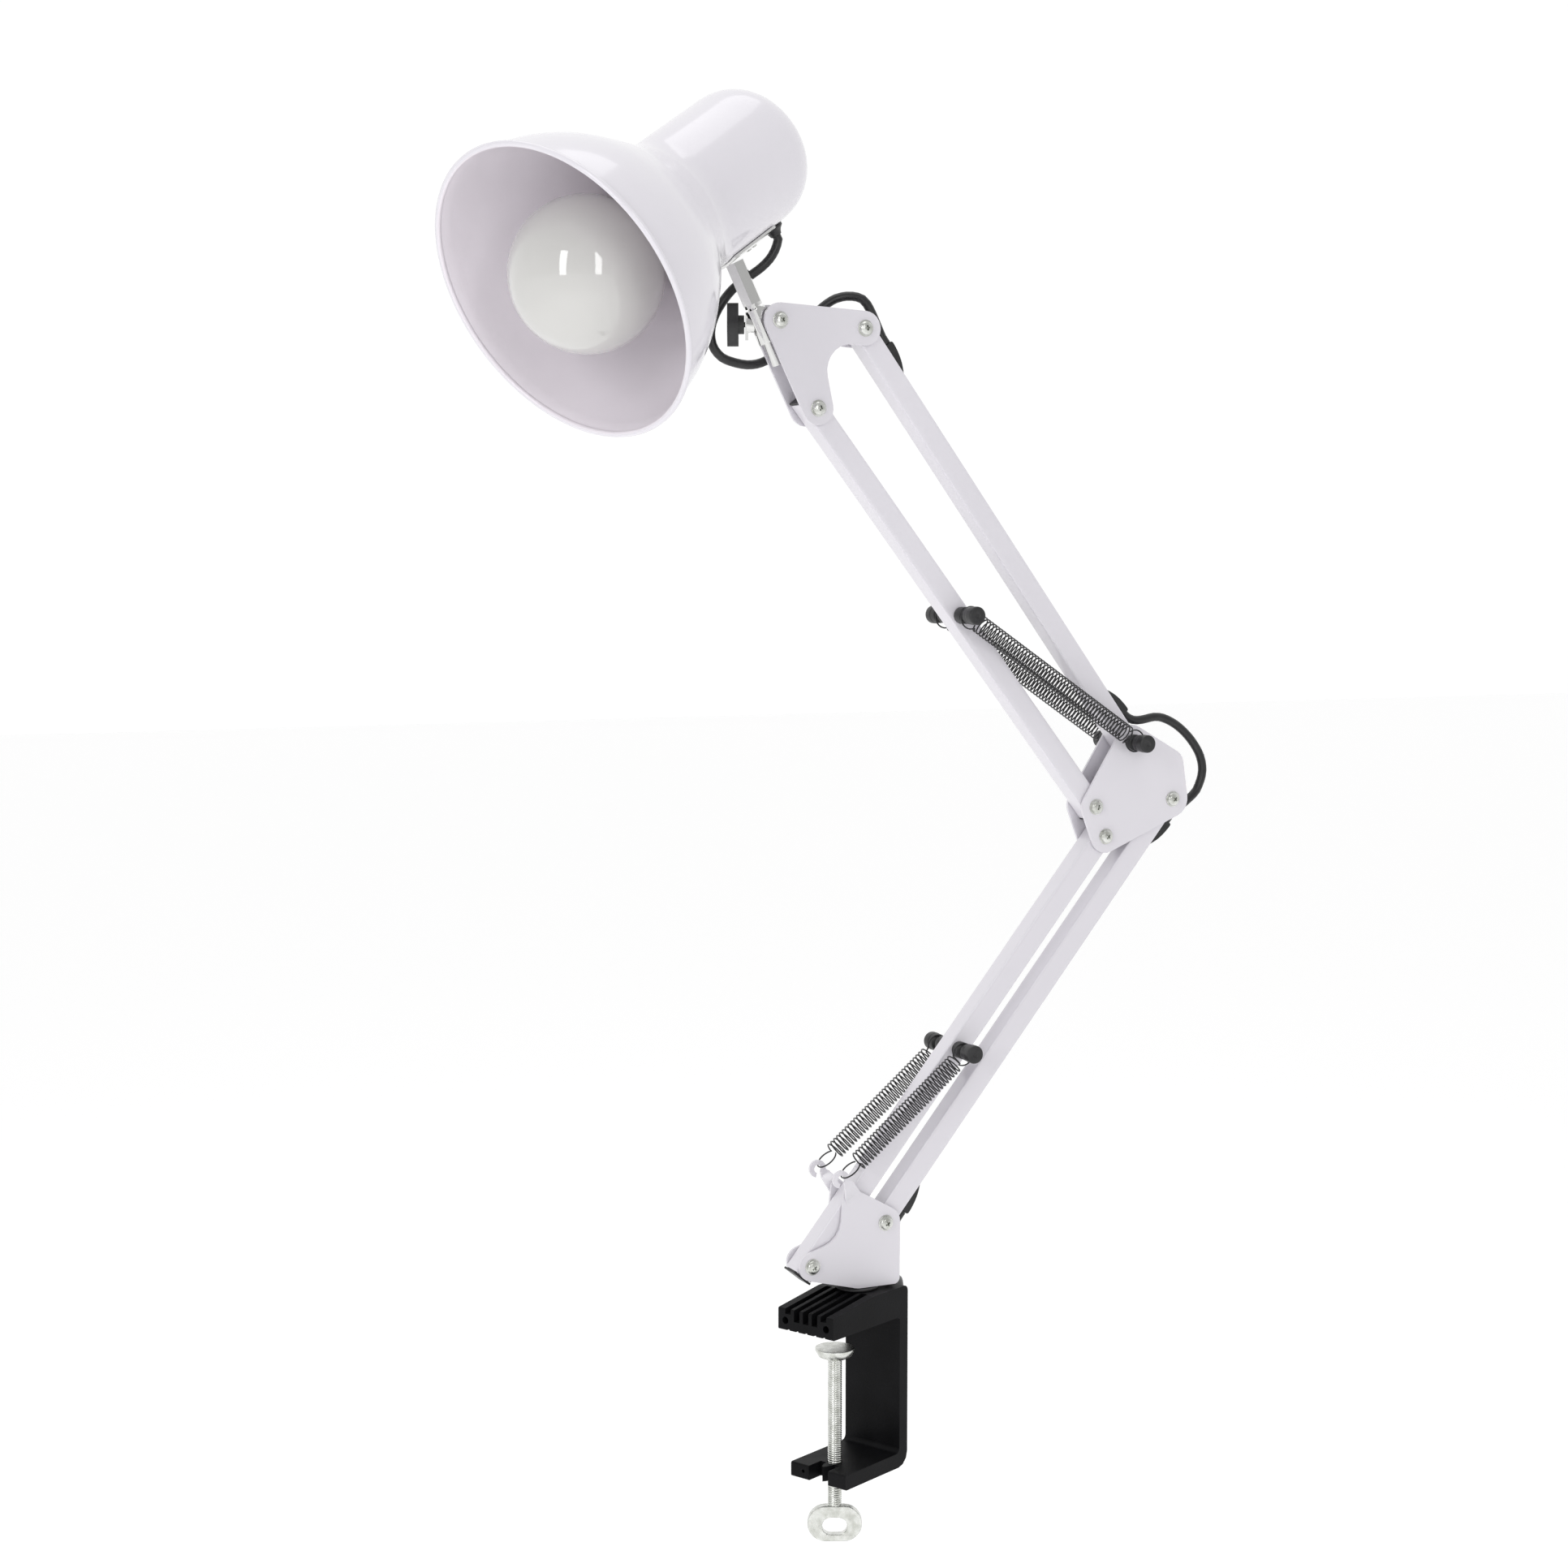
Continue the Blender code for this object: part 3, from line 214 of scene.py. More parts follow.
def vary_roughness(material, scale, low, high, stretch=(1, 1, 1)):
    links = material.node_tree.links
    where = node(material, "ShaderNodeTexCoord")
    mapping = node(material, "ShaderNodeMapping", Scale=stretch)
    noise = node(material, "ShaderNodeTexNoise", Scale=scale, Detail=5)
    spread = node(material, "ShaderNodeMapRange", To_Min=low, To_Max=high)
    links.new(where.outputs["Object"], mapping.inputs["Vector"])
    links.new(mapping.outputs["Vector"], noise.inputs["Vector"])
    links.new(noise.outputs["Fac"], spread.inputs["Value"])
    links.new(spread.outputs["Result"], material.node_tree.nodes["Principled BSDF"].inputs["Roughness"])


def add_bump(material, scale, strength, distance, kind="ShaderNodeTexNoise", stretch=(1, 1, 1)):
    links = material.node_tree.links
    where = node(material, "ShaderNodeTexCoord")
    mapping = node(material, "ShaderNodeMapping", Scale=stretch)
    texture = node(material, kind, Scale=scale)
    bump = node(material, "ShaderNodeBump", Strength=strength, Distance=distance)
    links.new(where.outputs["Object"], mapping.inputs["Vector"])
    links.new(mapping.outputs["Vector"], texture.inputs["Vector"])
    links.new(texture.outputs[0], bump.inputs["Height"])
    links.new(bump.outputs["Normal"], material.node_tree.nodes["Principled BSDF"].inputs["Normal"])


def make_materials():
    made = {}
    enamel = new_material("white_enamel", (0.71, 0.69, 0.735), 0.22, Coat_Weight=0.5, Coat_Roughness=0.06)
    vary_colour(enamel, 9, (0.70, 0.68, 0.725), (0.72, 0.70, 0.745))
    vary_roughness(enamel, 60, 0.16, 0.26)
    add_bump(enamel, 900, 0.05, 0.0002)
    made["enamel"] = enamel
    cast = new_material("black_clamp_moulding", (0.004, 0.004, 0.0045), 0.6, Specular_IOR_Level=0.1)
    vary_colour(cast, 60, (0.003, 0.003, 0.0035), (0.006, 0.006, 0.007))
    vary_roughness(cast, 120, 0.42, 0.6)
    add_bump(cast, 900, 0.22, 0.0003)
    made["cast"] = cast
    # Inside of the shade: the same white paint made brighter, painted light standing in for the light inside the
    # bell
    lining = new_material("shade_lining", (0.78, 0.735, 0.785), 0.3, Coat_Weight=0.3, Coat_Roughness=0.15)
    vary_colour(lining, 12, (0.765, 0.72, 0.77), (0.795, 0.75, 0.80))
    add_bump(lining, 900, 0.05, 0.0002)
    made["lining"] = lining
    plastic = new_material("black_moulding", (0.012, 0.012, 0.013), 0.42)
    vary_colour(plastic, 200, (0.009, 0.009, 0.010), (0.020, 0.020, 0.021))
    vary_roughness(plastic, 300, 0.34, 0.5)
    add_bump(plastic, 1600, 0.12, 0.0002)
    made["plastic"] = plastic
    rubber = new_material("cable_sheath", (0.012, 0.012, 0.013), 0.4)
    vary_colour(rubber, 150, (0.009, 0.009, 0.010), (0.018, 0.018, 0.019))
    vary_roughness(rubber, 250, 0.3, 0.46)
    add_bump(rubber, 1200, 0.08, 0.0002)
    made["rubber"] = rubber
    chrome = new_material("bright_chrome", (0.72, 0.72, 0.71), 0.08, 1.0)
    vary_roughness(chrome, 40, 0.05, 0.16)
    add_bump(chrome, 300, 0.04, 0.0002)
    made["chrome"] = chrome
    zinc = new_material("zinc_plate", (0.64, 0.65, 0.62), 0.28, 1.0)
    vary_colour(zinc, 250, (0.54, 0.55, 0.51), (0.74, 0.75, 0.72))
    vary_roughness(zinc, 350, 0.18, 0.38)
    made["zinc"] = zinc
    wire = new_material("spring_wire", (0.035, 0.035, 0.036), 0.3, 0.6)
    vary_colour(wire, 400, (0.022, 0.022, 0.023), (0.05, 0.05, 0.052))
    vary_roughness(wire, 500, 0.22, 0.4)
    made["wire"] = wire
    opal = new_material("opal_glass", (0.56, 0.555, 0.54), 0.08, Coat_Weight=0.8, Coat_Roughness=0.02,
                        Subsurface_Weight=0.15, Subsurface_Radius=(0.01, 0.01, 0.01))
    vary_colour(opal, 20, (0.55, 0.545, 0.53), (0.57, 0.565, 0.55))
    made["opal"] = opal
    ceramic = new_material("holder_plastic", (0.70, 0.69, 0.66), 0.3)
    vary_colour(ceramic, 60, (0.66, 0.65, 0.62), (0.74, 0.73, 0.70))
    made["ceramic"] = ceramic
    cap = new_material("bulb_cap_metal", (0.80, 0.79, 0.74), 0.25, 1.0)
    vary_roughness(cap, 200, 0.16, 0.36)
    made["cap"] = cap
    made["floor"] = new_material("pale_floor", (0.95, 0.95, 0.95), 0.7, Emission_Color=(1, 1, 1, 1),
                                 Emission_Strength=0.22)
    return made


# ---------------------------------------------------------------- geometry helpers

def unit(angle):
    return Vector((math.cos(angle), math.sin(angle)))


def in_plane(point, y=0.0):
    return Vector((point.x, y, point.y))


def clamp_point(s, side, z):
    """A point by its distance along and across the turned clamp."""
    forward = Vector((-math.cos(CLAMP_TURN), -math.sin(CLAMP_TURN), 0))
    across = Vector((math.sin(CLAMP_TURN), -math.cos(CLAMP_TURN), 0))
    return s * forward + side * across + Vector((0, 0, z))


def along(direction):
    return direction.to_track_quat("Z", "Y").to_matrix().to_4x4()


def head_point(s, radius=0.0, angle=0.0):
    """A point by its distance from the rim, its radius, and its angle from the stem's side."""
    down = in_plane(STEM_DIRECTION)
    down = (down - down.dot(SHADE_AXIS) * SHADE_AXIS).normalized()
    side = SHADE_AXIS.cross(down)
    return RIM_CENTRE + s * SHADE_AXIS + radius * (math.cos(angle) * down + math.sin(angle) * side)


def head_matrix(s=0.0):
    down = (head_point(0, 1) - RIM_CENTRE).normalized()
    turn = Matrix((down, SHADE_AXIS.cross(down), SHADE_AXIS)).transposed().to_4x4()
    return Matrix.Translation(head_point(s)) @ turn


def add(name, mesh, material, body=None, matrix=None, smooth=True, angle=35):
    made = bpy.data.objects.new(name, mesh)
    bpy.context.scene.collection.objects.link(made)
    if matrix is not None:
        mesh.transform(matrix)
    if smooth:
        mesh.shade_smooth()
        mesh.set_sharp_from_angle(angle=math.radians(angle))
    mesh.materials.clear()
    mesh.materials.append(material)
    if body:
        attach(made, body)
    return made


def turned(profile, steps=32):
    """(radius, height) points turned about Z, outer side downwards."""
    mesh = bpy.data.meshes.new("turned")
    build = bmesh.new()
    rings = []
    for radius, height in profile:
        if radius < 1e-7:
            rings.append([build.verts.new((0, 0, height))])
        else:
            rings.append([build.verts.new((*(radius * unit(2 * math.pi * turn / steps)), height))
                          for turn in range(steps)])
    for upper, lower in zip(rings, rings[1:]):
        for turn in range(steps):
            after = (turn + 1) % steps
            if len(upper) == 1 and len(lower) > 1:
                build.faces.new((upper[0], lower[turn], lower[after]))
            elif len(lower) == 1 and len(upper) > 1:
                build.faces.new((upper[turn], lower[0], upper[after]))
            elif len(upper) > 1:
                build.faces.new((upper[turn], lower[turn], lower[after], upper[after]))
    build.to_mesh(mesh)
    build.free()
    return mesh


def rounded(profile, size, steps=3):
    """A profile with its inner corners cut into small arcs."""
    made = [Vector(profile[0])]
    for before, corner, after in zip(profile, profile[1:], profile[2:]):
        corner, before, after = Vector(corner), Vector(before), Vector(after)
        reach = min(size, (before - corner).length / 2.2, (after - corner).length / 2.2)
        start = corner + reach * (before - corner).normalized()
        stop = corner + reach * (after - corner).normalized()
        for step in range(steps + 1):
            t = step / steps
            made.append((1 - t) ** 2 * start + 2 * t * (1 - t) * corner + t * t * stop)
    made.append(Vector(profile[-1]))
    return [tuple(point) for point in made]


def sweep(points, radius, sides=12):
    """Round tube through points with parallel-carried rings."""
    mesh = bpy.data.meshes.new("sweep")
    build = bmesh.new()
    count = len(points)
    tangents = []
    for index in range(count):
        tangent = points[min(index + 1, count - 1)] - points[max(index - 1, 0)]
        tangents.append(tangent.normalized())
    side = tangents[0].orthogonal().normalized()
    rings = []
    for index, point in enumerate(points):
        side = (side - side.dot(tangents[index]) * tangents[index]).normalized()
        other = tangents[index].cross(side)
        rings.append([build.verts.new(point + radius * (
            math.cos(2 * math.pi * k / sides) * side + math.sin(2 * math.pi * k / sides) * other))
            for k in range(sides)])
    for first, second in zip(rings, rings[1:]):
        for k in range(sides):
            after = (k + 1) % sides
            build.faces.new((first[k], first[after], second[after], second[k]))
    build.faces.new(list(reversed(rings[0])))
    build.faces.new(rings[-1])
    build.to_mesh(mesh)
    build.free()
    return mesh


def smooth_route(route, spacing):
    """Points about a spacing apart on a smooth curve; the first and last stretches stay straight."""
    fine = []
    for before, start, stop, after in zip(route, route[1:], route[2:], route[3:]):
        for step in range(12):
            t = step / 12
            bend = 2 * start + (stop - before) * t
            bend += (2 * before - 5 * start + 4 * stop - after) * t * t
            bend += (3 * start - before - 3 * stop + after) * t ** 3
            fine.append(bend / 2)
    fine.append(route[-2])
    total = sum((b - a).length for a, b in zip(fine, fine[1:]))
    count = max(2, round(total / spacing))
    picked = [fine[0]]
    walked = 0.0
    for first, second in zip(fine, fine[1:]):
        walked += (second - first).length
        if walked >= len(picked) * total / count and len(picked) < count:
            picked.append(second)
    return [route[0], *picked, route[-2], route[-1]]


def joined(meshes):
    """One mesh from several, each keeping its own shape."""
    build = bmesh.new()
    for mesh in meshes:
        build.from_mesh(mesh)
    made = bpy.data.meshes.new("joined")
    build.to_mesh(made)
    build.free()
    return made


def plate(outline, thickness, edge=0.0003):
    """Plate in the XY plane from outlines, with its rims eased."""
    curve = bpy.data.curves.new("outline", "CURVE")
    curve.dimensions = "2D"
    curve.fill_mode = "BOTH"
    curve.extrude = thickness / 2 - edge
    curve.bevel_depth = edge
    curve.bevel_resolution = 1
    curve.offset = -edge
    spline = curve.splines.new("POLY")
    spline.points.add(len(outline) - 1)
    spline.use_cyclic_u = True
    for knot, point in zip(spline.points, outline):
        knot.co = (point[0], point[1], 0, 1)
    made = bpy.data.objects.new("outline", curve)
    bpy.context.scene.collection.objects.link(made)
    bpy.context.view_layer.update()
    mesh = bpy.data.meshes.new_from_object(made.evaluated_get(bpy.context.evaluated_depsgraph_get()))
    bpy.data.objects.remove(made)
    return mesh


# ---------------------------------------------------------------- cords

def hank_frame():
    """Sideways and depth directions of the hank, behind the clamp's column."""
    return (Vector((math.cos(HANK_TURN), math.sin(HANK_TURN), 0)),
            Vector((-math.sin(HANK_TURN), math.cos(HANK_TURN), 0)))


def lead_route():
    """The mains lead's fall from the hood to the hank, as in the CAD."""
    deep = hank_frame()[1]
    start = LOWER_REAR + (0.0120 - GAP) * LOWER + CABLE_RISE * LOWER_BACK
    route = [in_plane(start), in_plane(start - 0.004 * LOWER)] + [Vector(point) for point in (
        (0.0250, 0.0045, 0.0470), (0.0254, 0.0100, 0.0385), (0.0266, 0.0136, 0.0290), (0.0285, 0.0150, 0.0190))]
    shoulder = HANK_CENTRE - 0.0240 * deep + Vector((0, 0, 0.0413))
    return smooth_route(route + [shoulder + Vector((0, 0, 0.0060)), shoulder], 0.003)


def hank_route():
    """Turns on a racetrack in three layers, ending upwards in the plug."""
    sideways, deep = hank_frame()
    straight = 0.040
    layer = 0.0052

    def track(radius, turn):
        bend = math.pi * radius
        run = (turn % 1.0) * 2 * (straight + bend)
        if run < straight:
            return -radius, straight / 2 - run
        run -= straight
        if run < bend:
            return -radius * math.cos(run / radius), -straight / 2 - radius * math.sin(run / radius)
        run -= bend
        if run < straight:
            return radius, run - straight / 2
        run -= straight
        return radius * math.cos(run / radius), straight / 2 + radius * math.sin(run / radius)

    def at(across, depth, height):
        return HANK_CENTRE + across * sideways + depth * deep + Vector((0, 0, height))

    stages = [(2.0, 0.0275, 0.0175, layer, layer), (0.25, 0.0175, 0.0175, layer, 0),
              (2.0, 0.0175, 0.0275, 0, 0), (0.25, 0.0275, 0.0275, 0, -layer),
              (1.5, 0.0275, 0.0175, -layer, -layer)]
    made = []
    turn = 0.0
    for turns, first, last, left, right in stages:
        count = round(turns * 36)
        for k in range(count):
            t = k / count
            ease = t * t * (3 - 2 * t)
            depth, height = track(first + (last - first) * t, turn + turns * t)
            made.append(at(left + (right - left) * ease, depth, height))
        turn += turns
    made += [at(-layer, -0.0175, straight / 2 - 0.0050 * k) for k in range(8)]
    for k in range(13):
        t = k / 12
        ease = t * t * (3 - 2 * t)
        made.append(at(-layer - (0.0151 - layer) * ease, -0.0025 - 0.0150 * math.cos(math.pi * t),
                       -straight / 2 - 0.0150 * math.sin(math.pi * t)))
    made.append(at(-0.0151, 0.0125, -0.0155))
    return made


def make_mains_lead(looks):
    """The lead's fixed top end, then its fall and its wound length with the plug and tie."""
    fall = lead_route()
    split = 10
    top = add("mains_lead_top", sweep(fall[:split + 1], CABLE / 2, 14), looks["rubber"])
    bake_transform(top)
    path = fall[split:-1]
    turns = hank_route()
    path = path[:-2] + [path[-2].lerp(turns[0], 0.25)] + turns
    lead = add("mains_lead_wound", sweep(path, CABLE / 2, 12), looks["rubber"])
    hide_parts("mains_lead", "mains_hank")
    plug, pins = make_plug(looks)
    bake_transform(lead)
    tie = make_tie(looks)


def make_tie(looks):
    """Flat tie round the front bundle of the hank, with its twisted ends."""
    sideways, deep = hank_frame()
    middle = HANK_CENTRE - 0.0225 * deep + Vector((0, 0, 0.0020))
    ring = []
    for k in range(32):
        angle = 2 * math.pi * k / 32
        across = math.copysign(abs(math.cos(angle)) ** 0.45, math.cos(angle)) * 0.0085
        depth = math.copysign(abs(math.sin(angle)) ** 0.45, math.sin(angle)) * 0.0083
        ring.append(middle + across * sideways + depth * deep)
    mesh = bpy.data.meshes.new("tie")
    build = bmesh.new()
    rows = []
    for point in ring:
        outward = (point - middle).normalized()
        rows.append([build.verts.new(point + rise * Vector((0, 0, 1)) + out * outward)
                     for rise, out in ((-0.0020, 0), (-0.0014, 0.0006), (0.0014, 0.0006), (0.0020, 0))])
    for first, second in zip(rows, rows[1:] + rows[:1]):
        for k in range(4):
            build.faces.new((first[k], second[k], second[(k + 1) % 4], first[(k + 1) % 4]))
    build.to_mesh(mesh)
    build.free()
    return add("hank_tie", mesh, looks["plastic"], "clamp")


def make_plug(looks):
    """Flat two-pin plug with finger grooves."""
    sideways, deep = hank_frame()
    frame = Matrix((deep, Vector((0, 0, 1)), sideways)).transposed().to_4x4()
    beside = HANK_CENTRE - 0.0151 * sideways + 0.0125 * deep + Vector((0, 0, 0.0050))
    outline = rounded([(0, -0.0200), (0.0050, -0.0200), (0.0064, -0.0150), (0.0174, -0.0090),
                       (0.0168, -0.0040), (0.0174, 0.0150), (0, 0.0150)], 0.003)
    outline = [Vector(point) for point in outline]
    outline += [Vector((-point.x, point.y)) for point in reversed(outline[1:-1])]
    body = add("plug_body", plate(outline, 0.0134, 0.0022), looks["plastic"], "clamp",
               Matrix.Translation(beside) @ frame)
    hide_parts("mains_plug")
    shapes = []
    for offset in (-0.0095, 0.0095):
        pin = turned(rounded([(0, 0.0185), (0.0020, 0.0185), (0.0020, -0.0010), (0, -0.0010)], 0.0010), 16)
        pin.transform(Matrix.Translation(beside + offset * deep + Vector((0, 0, 0.0150))))
        shapes.append(pin)
    pins = add("plug_pins", joined(shapes), looks["zinc"], "clamp")
    return body, pins


def make_elbow_cable(looks):
    """Flex looped behind the elbow, starting inside the upper hood."""
    start = UPPER_REAR + (0.0140 - GAP) * UPPER + CABLE_RISE * UPPER_BACK
    end = ELBOW_REAR - (0.0100 - GAP) * LOWER + CABLE_RISE * LOWER_BACK
    route = [start + 0.004 * UPPER, start + 0.001 * UPPER] + [Vector(point) for point in (
        (0.1735, 0.3309), (0.1775, 0.3290), (0.1820, 0.3286), (0.1870, 0.3293), (0.1925, 0.3302),
        (0.1985, 0.3295), (0.2065, 0.3260), (0.2140, 0.3205), (0.2205, 0.3135), (0.2250, 0.3060),
        (0.2265, 0.2980), (0.2245, 0.2905), (0.2200, 0.2840))]
    route += [end + 0.004 * LOWER, end]
    path = smooth_route([in_plane(point) for point in route], 0.003)
    half = len(path) // 2
    upper = add("elbow_cable_upper", sweep(path[:half + 1], CABLE / 2, 14), looks["rubber"])
    lower = add("elbow_cable_lower", sweep(path[half:], CABLE / 2, 14), looks["rubber"])
    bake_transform(upper)
    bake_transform(lower)
    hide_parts("elbow_cable")


def boot_direction():
    """Straight out of the neck at the cable relief."""
    return (head_point(BOOT_S, 1) - head_point(BOOT_S)).normalized()


def make_head_cable(looks):
    """Flex from the neck's relief behind the stem, under the knuckle and over the head plates."""
    out = boot_direction()
    tip = head_point(BOOT_S, NECK_RADIUS + GAP) + (BOOT + GAP) * out
    end = HEAD_REAR - (0.0160 - GAP) * UPPER + CABLE_RISE * UPPER_BACK
    route = [tip, tip + 0.002 * out] + [Vector(point) for point in (
        (-0.0440, 0.0132, 0.5865), (-0.0472, 0.0138, 0.5812), (-0.0520, 0.0145, 0.5765),
        (-0.0575, 0.0150, 0.5725), (-0.0675, 0.0160, 0.5650), (-0.0755, 0.0165, 0.5550),
        (-0.0800, 0.0165, 0.5450), (-0.0800, 0.0165, 0.5365), (-0.0765, 0.0165, 0.5305),
        (-0.0705, 0.0165, 0.5270), (-0.0585, 0.0160, 0.5250), (-0.0475, 0.0155, 0.5280),
        (-0.0340, 0.0150, 0.5380), (-0.0245, 0.0150, 0.5475), (-0.0165, 0.0145, 0.5560),
        (-0.0080, 0.0120, 0.5620), (0.0010, 0.0085, 0.5632), (0.0070, 0.0045, 0.5590))]
    route += [in_plane(end + 0.004 * UPPER), in_plane(end)]
    path = smooth_route(route, 0.003)
    first = min(range(len(path)), key=lambda k: (path[k] - HEAD_BREAK).length)
    second = min(range(len(path)), key=lambda k: (path[k] - PLATE_BREAK).length)
    drop = add("head_cable_drop", sweep(path[:first + 1], CABLE / 2, 14), looks["rubber"])
    loop = add("head_cable_loop", sweep(path[first:second + 1], CABLE / 2, 14), looks["rubber"])
    rise = add("head_cable_rise", sweep(path[second:], CABLE / 2, 14), looks["rubber"])
    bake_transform(drop)
    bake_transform(loop)
    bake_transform(rise)
    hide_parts("head_cable")


def make_boot(looks):
    """Short flared strain relief under the neck."""
    out = boot_direction()
    profile = curve_through([
        (0.0058, 0.0010), (0.0052, 0.0017), (0.0043, 0.0026), (0.0036, 0.0038), (0.0031, BOOT)])
    profile = [(0, BOOT), *reversed(profile), (0.0058, 0), (0, 0)]
    boot = add("cable_boot_flared", turned(profile, 28), looks["plastic"], "head",
               Matrix.Translation(head_point(BOOT_S, NECK_RADIUS + GAP)) @ along(out))
    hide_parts("cable_boot")


def make_hoods(looks):
    """Smooth low hoods over the cable ends behind the rear bars, drawn out to a point."""
    for name, pivot, direction, rear, start, body in (
            ("base_cable_hood", LOWER_REAR, LOWER, LOWER_BACK, 0.0120, "lower_rear"),
            ("elbow_hood_lower", ELBOW_REAR, -LOWER, LOWER_BACK, 0.0100, "lower_rear"),
            ("elbow_hood_upper", UPPER_REAR, UPPER, UPPER_BACK, 0.0140, "upper_rear"),
            ("head_cable_hood", HEAD_REAR, -UPPER, UPPER_BACK, 0.0160, "upper_rear")):
        top = curve_through([(0.0185, 0.0009), (0.0160, 0.0022), (0.0128, 0.0036), (0.0090, 0.0047),
                             (0.0050, 0.0054), (0.0014, 0.0057)], 3)
        profile = [(0, GAP), (0.0185, GAP), *top, (0.0004, 0.0055), (0, 0.0050)]
        base = pivot + start * direction + (BAR / 2) * rear
        outline = [base + run * direction + rise * rear for run, rise in profile]
        turn = Matrix.Rotation(math.pi / 2, 4, "X")
        hood = add(name + "_moulded", plate(outline, 0.0064, 0.0004), looks["plastic"], body, turn)
        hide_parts(name)


# ---------------------------------------------------------------- springs, screws, posts

def spring_path(near_end, far_end, side, through_hook):
    """Wire of an extension spring: a ring at each end and the open coil between them."""
    first = in_plane(near_end, side * SPRING_Y)
    last = in_plane(far_end, side * SPRING_Y)
    axis = (last - first).normalized()
    across = Vector((0, 1, 0))
    up = axis.cross(across).normalized()
    length = (last - first).length
    coil, ring, pitch = 0.0051, 0.0062, 0.00235
    coil_stop = length - 0.0085
    if through_hook:
        coil_start = 0.0136
        centre = first + 0.0076 * axis
        way = across * side
    else:
        coil_start = 0.0085
        centre = first + 0.0023 * axis
        way = up
    points = [centre + ring * (math.cos(angle) * axis - math.sin(angle) * way)
              for angle in (math.radians(25 + 310 * k / 24) for k in range(25))]
    turns = round((coil_stop - coil_start) / pitch)
    phase = math.atan2((points[-1] - first).dot(up), (points[-1] - first).dot(across))
    for k in range(turns * 12 + 1):
        angle = 2 * math.pi * k / 12 + phase
        height = coil_start + (coil_stop - coil_start) * k / (turns * 12)
        points.append(first + height * axis + coil * (math.cos(angle) * across + math.sin(angle) * up))
    centre = last - 0.0023 * axis
    leaving = 1 if math.sin(angle) > 0 else -1
    points += [centre + ring * (-math.cos(angle) * axis + leaving * math.sin(angle) * up)
               for angle in (math.radians(35 + 300 * k / 24) for k in range(25))]
    return points


def make_springs(looks):
    """Four tension springs, each a coil fixed in place between the points that hold its ends."""
    for name, start, stop, side, bodies, hook in (
            ("lower_spring_near", SPRING_HOOK, LOWER_POST, -1, ("base", "lower_front"), True),
            ("lower_spring_far", SPRING_HOOK, LOWER_POST, 1, ("base", "lower_front"), True),
            ("upper_spring_near", UPPER_REAR, UPPER_POST, -1, ("elbow", "upper_front"), False),
            ("upper_spring_far", UPPER_REAR, UPPER_POST, 1, ("elbow", "upper_front"), False)):
        coil = add(name + "_coil", sweep(spring_path(start, stop, side, hook), WIRE, 6), looks["wire"], angle=70)
        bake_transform(coil)
        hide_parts(name)


def carved(mesh, tool):
    """The mesh less the tool, as a new mesh."""
    pair = [bpy.data.objects.new("carving", shape) for shape in (mesh, tool)]
    for made in pair:
        bpy.context.scene.collection.objects.link(made)
    step = pair[0].modifiers.new("Cut", "BOOLEAN")
    step.operation = "DIFFERENCE"
    step.solver = "EXACT"
    step.object = pair[1]
    bpy.context.view_layer.update()
    result = bpy.data.meshes.new_from_object(pair[0].evaluated_get(bpy.context.evaluated_depsgraph_get()))
    for made in pair:
        bpy.data.objects.remove(made)
    return result


def cross_tool(reach, width, depth):
    """Tapered cross for a cross-head recess, its top at z = 0."""
    shapes = []
    for turn in (0, math.pi / 2):
        mesh = bpy.data.meshes.new("blade")
        build = bmesh.new()
        bmesh.ops.create_cone(build, cap_ends=True, segments=4, radius1=reach * 0.45, radius2=reach * 1.25,
                              depth=depth * 2)
        build.to_mesh(mesh)
        build.free()
        mesh.transform(Matrix.Rotation(turn, 4, "Z") @ Matrix.Diagonal((1, width / reach, 1, 1))
                       @ Matrix.Rotation(math.pi / 4, 4, "Z"))
        shapes.append(mesh)
    return shapes


def screw_head(radius, height):
    """Pan head on the XY plane, pointing up +Z, with a cross recess."""
    dome = [(0, height), (radius * 0.35, height * 0.98), (radius * 0.7, height * 0.86),
            (radius * 0.9, height * 0.6), (radius, height * 0.3), (radius, 0), (0, 0)]
    mesh = turned(rounded(dome, 0.0002, 2), 28)
    for blade in cross_tool(radius * 0.62, radius * 0.2, height * 0.6):
        blade.transform(Matrix.Translation((0, 0, height)))
        mesh = carved(mesh, blade)
    return mesh


def hex_nut(flats, height):
    mesh = bpy.data.meshes.new("nut")
    build = bmesh.new()
    bmesh.ops.create_cone(build, cap_ends=True, segments=6, radius1=flats / math.sqrt(3),
                          radius2=flats / math.sqrt(3), depth=height)
    bmesh.ops.bevel(build, geom=build.edges[:], offset=0.0003, segments=2, affect="EDGES", profile=0.5)
    build.to_mesh(mesh)
    build.free()
    mesh.transform(Matrix.Translation((0, 0, height / 2)))
    return mesh


